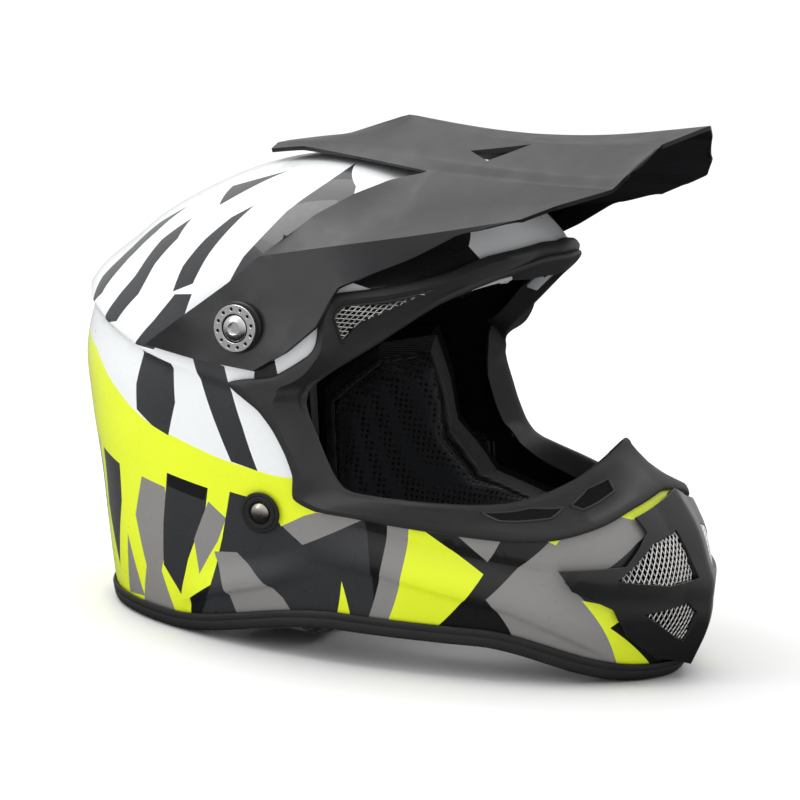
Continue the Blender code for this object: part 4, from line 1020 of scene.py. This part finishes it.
def build_peak():
    """The peak's sheet as a creased subdivision surface, thickened downwards, with its vents cut."""
    sheet, number = bmesh.new(), {}
    edge_crease = sheet.edges.layers.float.new("crease_edge")
    point_crease = sheet.verts.layers.float.new("crease_vert")
    for side, _ in SIDES:
        for face in peak_half_faces():
            row = []
            for x, forward, height in face:
                key = (side * x, forward, height)
                if key not in number:
                    number[key] = sheet.verts.new(to_frame((side * x, -forward, height)))
                row.append(number[key])
            sheet.faces.new(row if side > 0 else row[::-1])
    bmesh.ops.recalc_face_normals(sheet, faces=sheet.faces)
    if sum(f.normal.z * f.calc_area() for f in sheet.faces) < 0:
        bmesh.ops.reverse_faces(sheet, faces=sheet.faces)
    for side, _ in SIDES:
        for a, b, sharp in peak_creases():
            edge = sheet.edges.get([number[(side * x, *rest)] for x, *rest in (a, b)])
            if edge is not None:
                edge[edge_crease] = sharp
        for x, *rest in (PEAK_RIDGE[1], PEAK_RIDGE[2], PEAK_CREASE[2]):
            number[(side * x, *rest)][point_crease] = CORNER_CREASE
    for edge in sheet.edges:
        if edge.is_boundary:
            for vertex in edge.verts:
                vertex[point_crease] = CORNER_CREASE
    mesh = bpy.data.meshes.new("peak_moulded")
    sheet.to_mesh(mesh)
    sheet.free()
    mesh.materials.append(PEAK_BLACK)
    peak = add_object("peak_moulded", mesh)
    divide = peak.modifiers.new("divide", "SUBSURF")
    divide.levels = divide.render_levels = 3
    divide.boundary_smooth = "PRESERVE_CORNERS"
    thick = peak.modifiers.new("thick", "SOLIDIFY")
    thick.thickness = PEAK_THICKNESS * MM
    thick.offset = -1.0
    thick.use_even_offset = True
    for side, _ in SIDES:
        drill_prism(peak, np.array([(side * x, -forward, 240) for x, forward in PEAK_VENT]), (0, 0, 40))
    bake_modifiers(peak)
    soften(peak, 0.6, 2, 16)
    peak.data.shade_smooth()
    peak.data.set_sharp_from_angle(angle=math.radians(13))
    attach(peak, "peak")
    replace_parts(peak, "peak")
    boss = [(-3.7, 12.0), (-3.7, 13.2), (-0.6, 13.4), (0.0, 13.0), (0.15, 12.7), (0.15, 3.2)]
    for side, word in SIDES:
        turned_piece("peak_boss_" + word, boss, screw_place(side), (side, 0, 0), PEAK_BLACK, "matte_black",
                     "peak")


def bake_modifiers(obj):
    """Puts the evaluated shape in the object's mesh, and removes its modifiers and their cutters."""
    cutters = [m.object for m in obj.modifiers if m.type == "BOOLEAN"]
    graph = bpy.context.evaluated_depsgraph_get()
    graph.update()
    obj.data = bpy.data.meshes.new_from_object(obj.evaluated_get(graph))
    obj.modifiers.clear()
    for cutter in cutters:
        bpy.data.objects.remove(cutter, do_unlink=True)


def drill_prism(obj, outline, lift):
    """Cuts a straight-sided hole: outline is one end of it, and lift the way to the other."""
    cutter = add_object("cutter", mesh_of("cutter", *loft([outline, outline + lift])))
    cutter.hide_render = True
    cut = obj.modifiers.new("cut", "BOOLEAN")
    cut.operation = "DIFFERENCE"
    cut.solver = "EXACT"
    cut.object = cutter


def screw_place(side):
    return np.array([side * BOSS_FACE, -PIVOT[0], PIVOT[1]])


def dotted_ring(name, centre, axis, body):
    """The screw's flat metal ring, with a circle of drilled dots."""
    axis, across, beside = axes_about(axis)
    loops = [circle(12.0, 72), circle(7.4, 48)] + [circle(0.85, 14, *dot) for dot in circle(9.8, 12)]
    flat, faces = triangles_of(loops)
    spread = flat @ np.stack([across, beside])
    points, every = skin(flat, faces, centre + 2.8 * axis + spread, centre + 1.2 * axis + spread)
    return soften(new_piece(name, points, every, SCREW_METAL, "aluminium", body, 30), 0.22, 2, 40)


def build_screws():
    seat = [(0.9, 11.6), (1.5, 11.6), (1.6, 7.6), (1.6, 0.5)]
    dome = [(1.2, 6.6), (2.4, 6.6), (2.9, 6.2), (3.3, 5.2), (3.55, 3.9), (3.6, 3.4), (3.2, 3.1), (2.0, 3.0),
            (2.0, 0.5)]
    for side, word in SIDES:
        centre, axis, body = screw_place(side), (side, 0, 0), "screw_" + word
        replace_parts(dotted_ring("screw_ring_" + word, centre, axis, body), "peak_screw_" + word)
        turned_piece("screw_seat_" + word, seat, centre, axis, RING_RUBBER, "aluminium", body)
        turned_piece("screw_dome_" + word, dome, centre, axis, SCREW_METAL, "aluminium", body)


def build_rivets():
    stud = [(-9.4, 4.8), (-7.8, 4.8), (-7.8, 2.5), (0.7, 2.5), (0.7, 5.2), (1.6, 5.35), (2.6, 5.1),
            (3.4, 4.3), (3.95, 3.0), (4.2, 1.6), (4.3, 0.3)]
    ring = [(1.3, 5.9), (1.2, 10.6), (2.0, 10.8), (2.6, 10.3), (2.8, 9.2), (2.5, 8.7), (3.1, 8.3), (3.3, 7.4),
            (3.0, 6.3), (2.4, 5.9)]
    for side, word in SIDES:
        place = place_at(*RIVET, side)
        centre, axis = on_shell(place), normal_at(place)
        rivet = turned_piece("rivet_domed_" + word, stud, centre, axis, STEEL, "steel")
        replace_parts(rivet, "strap_rivet_" + word)
        seat = turned_piece("rivet_seat_" + word, ring, centre, axis, RING_RUBBER, "black_rubber", ring=True)
        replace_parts(seat, "rivet_ring_" + word)


# ---------------------------------------------------------------- padding
CLOTH = {"quality": 6, "mass": 0.25, "tension_stiffness": 12, "compression_stiffness": 12,
         "shear_stiffness": 8, "bending_stiffness": 0.6, "use_pressure": True, "uniform_pressure_force": 4.0}
CLOTH_FRAMES = 20


def patch_body(outline, top, bottom, spacing=9.0):
    """A body over a region of the shell, between two depths below it."""
    flat, faces = cells_over(outline, [], spacing, spacing)
    place = from_plane(flat)
    return skin(flat, faces, layer(*place, top), layer(*place, bottom))


def point_rows(mesh):
    rows = np.empty(len(mesh.vertices) * 3)
    mesh.vertices.foreach_get("co", rows)
    return rows.reshape(-1, 3)


def inflated(points, faces, voxel, cap):
    """Cloth pressure on a voxel copy of a body, with each point's travel capped: its points and faces."""
    scene = bpy.context.scene
    obj = add_object("inflating", mesh_of("inflating", points, faces))
    remesh = obj.modifiers.new("remesh", "REMESH")
    remesh.mode = "VOXEL"
    remesh.voxel_size = voxel * MM
    graph = bpy.context.evaluated_depsgraph_get()
    even = bpy.data.meshes.new_from_object(obj.evaluated_get(graph))
    obj.modifiers.clear()
    obj.data = even
    before = after = point_rows(even)
    cloth = obj.modifiers.new("cloth", "CLOTH")
    for key, value in CLOTH.items():
        setattr(cloth.settings, key, value)
    cloth.settings.effector_weights.gravity = 0.0
    cloth.point_cache.frame_start = 1
    cloth.point_cache.frame_end = CLOTH_FRAMES
    for number in range(1, CLOTH_FRAMES + 1):
        scene.frame_set(number)
    graph = bpy.context.evaluated_depsgraph_get()
    after = point_rows(obj.evaluated_get(graph).to_mesh())
    scene.frame_set(1)
    move = after - before
    size = np.linalg.norm(move, axis=1, keepdims=True)
    move *= np.minimum(1.0, cap * MM / np.maximum(size, 1e-9))
    made = (before + move) / MM - np.array([0.0, CENTRE_SHIFT, 0.0])
    cells = [tuple(p.vertices) for p in even.polygons]
    bpy.data.objects.remove(obj, do_unlink=True)
    return made, cells


def pad_piece(name, points, faces, material, node, body=HELMET):
    pad = new_piece(name, points, faces, material, "black_fabric", body, 80)
    smooth = pad.modifiers.new("rounder", "SUBSURF")
    smooth.levels = smooth.render_levels = 1
    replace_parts(pad, node)


def mirror_body(points, faces):
    return np.asarray(points) * np.array([-1.0, 1.0, 1.0]), [tuple(reversed(f)) for f in faces]


def shrink_outline(outline, amount):
    """The outline moved inwards by about amount mm, towards its middle."""
    middle = np.mean([on_shell(p) for p in outline], axis=0)
    made = []
    for place in outline:
        toward = middle - on_shell(place)
        made.append(walk(place, amount * toward / np.linalg.norm(toward)))
    return made


def build_pad_gusset(word, outline, side):
    """The ribbed knit round a cheek pad, from its face back to the shell, with piping on the seam."""
    flip = np.array([side, 1.0, 1.0])
    place = from_plane(dense_loop(outline, 3.0))
    back, waist, front = (layer(*place, depth) for depth in (27.0, 34.0, 40.5))
    away = front - front.mean(axis=0)
    away[:, 0] = 0.0
    away /= np.linalg.norm(away, axis=1, keepdims=True)
    sections = []
    for low, middle, high, out in zip(back, waist, front, away):
        face = [low + 4.0 * out, middle + 4.4 * out, high + 2.2 * out]
        sections.append([p * flip for p in face + [p - 1.2 * out for p in face[::-1]]])
    new_piece("cheek_pad_gusset_" + word, *loft(sections, True), PAD_RIB, "black_fabric")
    piping = tube((front + 2.0 * away) * flip, 1.5, 8, (1, 0, 0), True)
    bar_piece("cheek_pad_piping_" + word, [piping], PAD_RIB, "black_fabric")


def build_cheek_pads():
    outline = shrink_outline(CHEEK_EDGE, 3.0)
    pad = inflated(*patch_body(outline, 27.0, 43.5), voxel=3.5, cap=4.0)
    pad_piece("cheek_pad_padded_left", *pad, PAD_MESH, "cheek_pad_left")
    pad_piece("cheek_pad_padded_right", *mirror_body(*pad), PAD_MESH, "cheek_pad_right")
    for side, word in SIDES:
        build_pad_gusset(word, outline, side)


# Crown liner: a brow band, a centre strip and two side pads each side, between sewn channels.
LINER_PADS = (
    ((-46, 211), (-32, 217), (-12, 221), (0, 222), (12, 221), (32, 217), (46, 211), (42, 226), (20, 236),
     (-20, 236), (-42, 226)),
    ((-170, 66), (-172, 150), (-165, 212), (-120, 236), (120, 236), (165, 212), (172, 150), (170, 66)),
    ((52, 210), (68, 203), (82, 196), (88, 206), (84, 222), (62, 234), (46, 227)),
    ((88, 195), (100, 192), (108, 175), (116, 156), (128, 150), (140, 178), (152, 206), (118, 230),
     (94, 224)),
    ((120, 148), (131, 120), (134, 76), (152, 68), (164, 66), (166, 150), (160, 196), (146, 174), (134, 148)),
)
MIDDLE_PADS = 2  # the first two lie across the middle, and the rest are mirrored
NECK_ROLL_EDGE = ((127, 12), (127, 43), (150, 43), (180, 43), (210, 43), (233, 43), (233, 12), (210, 12),
                  (180, 12), (150, 12))
COMFORT_EDGE = ((0, 223), (30, 219), (50, 211), (68, 204), (84, 195), (100, 193), (110, 172),
                (118, 153), (132, 119), (136, 72), (155, 64), (180, 62))


def build_crown_liner():
    bodies = []
    for number, outline in enumerate(LINER_PADS):
        bodies.append(patch_body(outline, 33.5, 37.0))
        if number >= MIDDLE_PADS:
            bodies.append(mirror_body(*bodies[-1]))
    pads = [inflated(*body, voxel=3.2, cap=2.2) for body in bodies]
    pad_piece("crown_liner_padded", *gather(pads), LINER_KNIT, "crown_liner")
    base = patch_body(both_sides(COMFORT_EDGE), 32.0, 33.6, 8.0)
    new_piece("crown_liner_base", *base, LINER_KNIT, "black_fabric", sharp=80)


def build_neck_roll():
    roll = inflated(*patch_body(NECK_ROLL_EDGE, 12.0, 30.0), voxel=4.5, cap=3.0)
    pad_piece("neck_roll_padded", *roll, PAD_MESH, "neck_roll")


# ---------------------------------------------------------------- chin strap
STRAP_LOW = 9.0
STRAP_WIDTH, STRAP_THICKNESS = 25.0, 2.2
RING_BAR, RING_WIRE, RING_OFFSET = 12.0, 1.6, 1.9


def smooth_path(path, parts):
    path = np.asarray(path, float)
    control = np.vstack([2 * path[0] - path[1], path, 2 * path[-1] - path[-2]])
    made = []
    for i in range(len(path) - 1):
        made += [spline(*control[i:i + 4], k / parts) for k in range(parts)]
    return np.array([*made, path[-1]])


def strap_path(side):
    forward = RIVET[0]
    path = []
    for height, depth in ((61, 10.2), (45, 10.3), (34, 10.6), (24, 14.5)):
        point = on_shell(place_at(forward, height, side), depth)
        path.append((point[0], -forward, height))
    path += [(side * x, -forward, h) for x, h in ((96, 18), (93, 13), (88, STRAP_LOW + 0.6), (82, STRAP_LOW))]
    return path


def strap_piece(name, path, node, body):
    path = smooth_path(path, 3)
    ahead = np.gradient(path, axis=0)
    ahead /= np.linalg.norm(ahead, axis=1, keepdims=True)
    wide = np.array([0.0, 1.0, 0.0])
    half_wide, half_thick = STRAP_WIDTH / 2, STRAP_THICKNESS / 2
    profile = [(half_wide * w, half_thick * h) for w, h in
               ((-1, 0.3), (-0.97, 0.85), (-0.85, 1), (0, 1), (0.85, 1), (0.97, 0.85), (1, 0.3), (1, -0.3),
                (0.97, -0.85), (0.85, -1), (0, -1), (-0.85, -1), (-0.97, -0.85), (-1, -0.3))]
    sections = []
    for point, along_here in zip(path, ahead):
        out = np.cross(along_here, wide)
        sections.append([point + a * wide + b * out for a, b in profile])
    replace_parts(new_piece(name, *loft(sections), WEBBING, "black_fabric", body, 50), node)


def build_straps():
    y = -RIVET[0]
    loop_radius = RING_OFFSET + RING_WIRE + 0.35 + STRAP_THICKNESS / 2
    fold = [(48, y, STRAP_LOW), (42, y, STRAP_LOW + 1.0), (24, y, STRAP_LOW + 2.6),
            (17, y, STRAP_LOW + loop_radius - 0.4)]
    for turn in range(90, 271, 30):
        a = math.radians(turn)
        fold.append((RING_BAR + loop_radius * math.cos(a), y, STRAP_LOW + loop_radius * math.sin(a)))
    fold += [(17, y, STRAP_LOW - loop_radius + 0.4), (24, y, STRAP_LOW - 2.6), (38, y, STRAP_LOW - 2.2)]
    strap_piece("strap_woven_left", strap_path(1) + fold, "chin_strap_left", "strap_left")
    strap_piece("strap_woven_right", strap_path(-1) + [(-48, y, STRAP_LOW), (-22, y, STRAP_LOW)],
                "chin_strap_right", "strap_right")
    outline = [(-14, -4.2), (14, -4.2), (15.5, -2.6), (15.5, 2.6), (14, 4.2), (-14, 4.2), (-15.5, 2.6),
               (-15.5, -2.6)]
    sections = [[(51 + s, y + a, STRAP_LOW + b) for a, b in outline] for s in (2, 9, 16, 22, 28)]
    sleeve = inflated(*loft(sections), voxel=2.5, cap=2.0)
    pad_piece("strap_pad_padded_left", *sleeve, PAD_MESH, "strap_pad_left", "strap_left")
    pad_piece("strap_pad_padded_right", *mirror_body(*sleeve), PAD_MESH, "strap_pad_right", "strap_right")


def build_d_rings():
    y = -RIVET[0]
    for name, lift in (("upper", RING_OFFSET), ("lower", -RING_OFFSET)):
        height = STRAP_LOW + lift
        path = [(RING_BAR, y + s, height) for s in (-14, -7, 0, 7, 14)] + [(RING_BAR - 2, y + 15.6, height)]
        for turn in range(0, 181, 12):
            a = math.radians(turn)
            path.append((RING_BAR - 8 - 16 * math.sin(a), y + 15.6 * math.cos(a), height))
        path.append((RING_BAR - 2, y - 15.6, height))
        wire = tube(path, RING_WIRE, 14, (0, 0, 1), True)
        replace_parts(bar_piece("ring_wire_" + name, [wire], STEEL, "steel", "ring_" + name), "d_ring_" + name)


# ---------------------------------------------------------------- CAD nodes that keep their shape
def dress_cad_nodes():
    finishes = {"impact_foam": FOAM_BLACK, "chin_bar_foam": FOAM_BLACK}
    for _, word in SIDES:
        finishes |= {"cheek_foam_" + word: FOAM_BLACK, "peak_washer_" + word: RING_RUBBER,
                     "peak_insert_" + word: STEEL, "strap_hanger_" + word: STEEL}
    for name, material in finishes.items():
        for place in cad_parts[name].material_slots:
            place.link = "OBJECT"
            place.material = material


# ---------------------------------------------------------------- studio
FLOOR_REACH, FLOOR_DROP = 12.0, 0.0004
WALL_RADIUS, WALL_HEIGHT, WALL_DROP, WALL_SIDES = 9.0, 9.0, 0.2, 96
# Height in the surroundings, 0 straight down and 1 straight up, and how light they are there.
SKY_STOPS = ((0.30, 0.02), (0.45, 0.62), (0.75, 1.1))
SKY_STRENGTH = 0.75
SUN_STRENGTH, SUN_SPREAD, SUN_RAYS = 1.35, 70, (-0.25, -0.1, -1)
# The camera that matches the photograph: its place, and its right, up and back directions.
CAMERA_LENS, SENSOR_WIDTH = 205.2, 36.0
CAMERA_PLACE = (-2.0979, -1.0772, 0.5488)
CAMERA_AXES = ((0.46947, -0.87981, 0.07434), (0.12441, 0.14926, 0.98094), (-0.87414, -0.45128, 0.17953))


def aim(obj, rays):
    obj.rotation_euler = Vector(rays).to_track_quat("-Z", "Y").to_euler()


def area_light(name, place, size, power):
    """A rectangular light turned towards the helmet's middle."""
    light = bpy.data.lights.new(name, "AREA")
    light.shape = "RECTANGLE"
    light.size, light.size_y = size
    light.energy = power
    obj = add_object(name, light)
    obj.location = place
    aim(obj, Vector((0, 0, 0.2)) - Vector(place))


def stage_piece(name, points, faces, material):
    mesh = bpy.data.meshes.new(name)
    mesh.from_pydata(points, [], faces)
    mesh.materials.append(material)
    obj = add_object(name, mesh)
    return obj


def build_floor():
    material, tree, shader = new_material("floor_pale", (0.86, 0.86, 0.86), 0.7, Specular_IOR_Level=0.1)
    tint(tree, shader, noise(tree, 2.0), (0.85, 0.85, 0.85), (0.88, 0.88, 0.88))
    corners = ((-1, -1), (1, -1), (1, 1), (-1, 1))
    points = [(x * FLOOR_REACH, y * FLOOR_REACH, -FLOOR_DROP) for x, y in corners]
    floor = stage_piece("floor", points, [(0, 1, 2, 3)], material)
    floor.visible_glossy = False


def build_backdrop():
    """A white wall far round the object, seen by the camera only, so that it adds no light."""
    material, _, _ = new_material("backdrop_white", (0.0, 0.0, 0.0), 0.5, Emission_Color=(1.0, 1.0, 1.0, 1.0),
                                  Emission_Strength=1.0)
    corners = circle(WALL_RADIUS, WALL_SIDES)
    points = [(x, y, z) for z in (-WALL_DROP, WALL_HEIGHT) for x, y in corners]
    faces = [(k, (k + 1) % WALL_SIDES, WALL_SIDES + (k + 1) % WALL_SIDES, WALL_SIDES + k)
             for k in range(WALL_SIDES)]
    wall = stage_piece("backdrop", points, faces, material)
    for ray in ("diffuse", "glossy", "transmission", "volume_scatter", "shadow"):
        setattr(wall, "visible_" + ray, False)


def build_sky():
    """Grey surroundings that are dark below and light above, with no edge for the gloss to mirror."""
    world = bpy.data.worlds.new("studio")
    bpy.context.scene.world = world
    world.use_nodes = True
    tree = world.node_tree
    background = tree.nodes["Background"]
    split = add_node(tree, "SeparateXYZ")
    tree.links.new(add_node(tree, "TexCoord").outputs["Generated"], split.inputs["Vector"])
    rise = add_node(tree, "MapRange", From_Min=-1.0, From_Max=1.0)
    tree.links.new(split.outputs["Z"], rise.inputs["Value"])
    ramp = add_node(tree, "ValToRGB")
    tree.links.new(rise.outputs["Result"], ramp.inputs["Fac"])
    tree.links.new(ramp.outputs["Color"], background.inputs["Color"])
    stops = ramp.color_ramp.elements
    stops.new(0.5)
    for stop, (position, grey) in zip(stops, SKY_STOPS):
        stop.position, stop.color = position, (grey, grey, grey, 1.0)
    background.inputs["Strength"].default_value = SKY_STRENGTH


def build_studio():
    build_floor()
    build_backdrop()
    build_sky()
    sun = bpy.data.lights.new("sky_sun", "SUN")
    sun.energy = SUN_STRENGTH
    sun.angle = math.radians(SUN_SPREAD)
    aim(add_object("sky_sun", sun), SUN_RAYS)
    area_light("key_above", (-0.3, 0.5, 1.5), (1.3, 0.8), 9)
    area_light("side_strip", (-1.5, 0.9, 0.9), (0.5, 1.2), 5)
    bpy.context.scene.view_settings.view_transform = "Standard"


def build_camera():
    camera = bpy.data.cameras.new("photo_camera")
    camera.lens, camera.sensor_width, camera.clip_start = CAMERA_LENS, SENSOR_WIDTH, 0.05
    obj = add_object("photo_camera", camera)
    obj.matrix_world = Matrix.Translation(CAMERA_PLACE) @ Matrix(CAMERA_AXES).transposed().to_4x4()
    bpy.context.scene.camera = obj


build_camera()
build_studio()
build_shell()
build_surround()
build_surround_vents()
build_brow_ducts()
build_trim()
build_chin_cover()
build_chin_meshes()
build_peak()
build_screws()
build_rivets()
build_cheek_pads()
build_crown_liner()
build_neck_roll()
build_straps()
build_d_rings()
dress_cad_nodes()
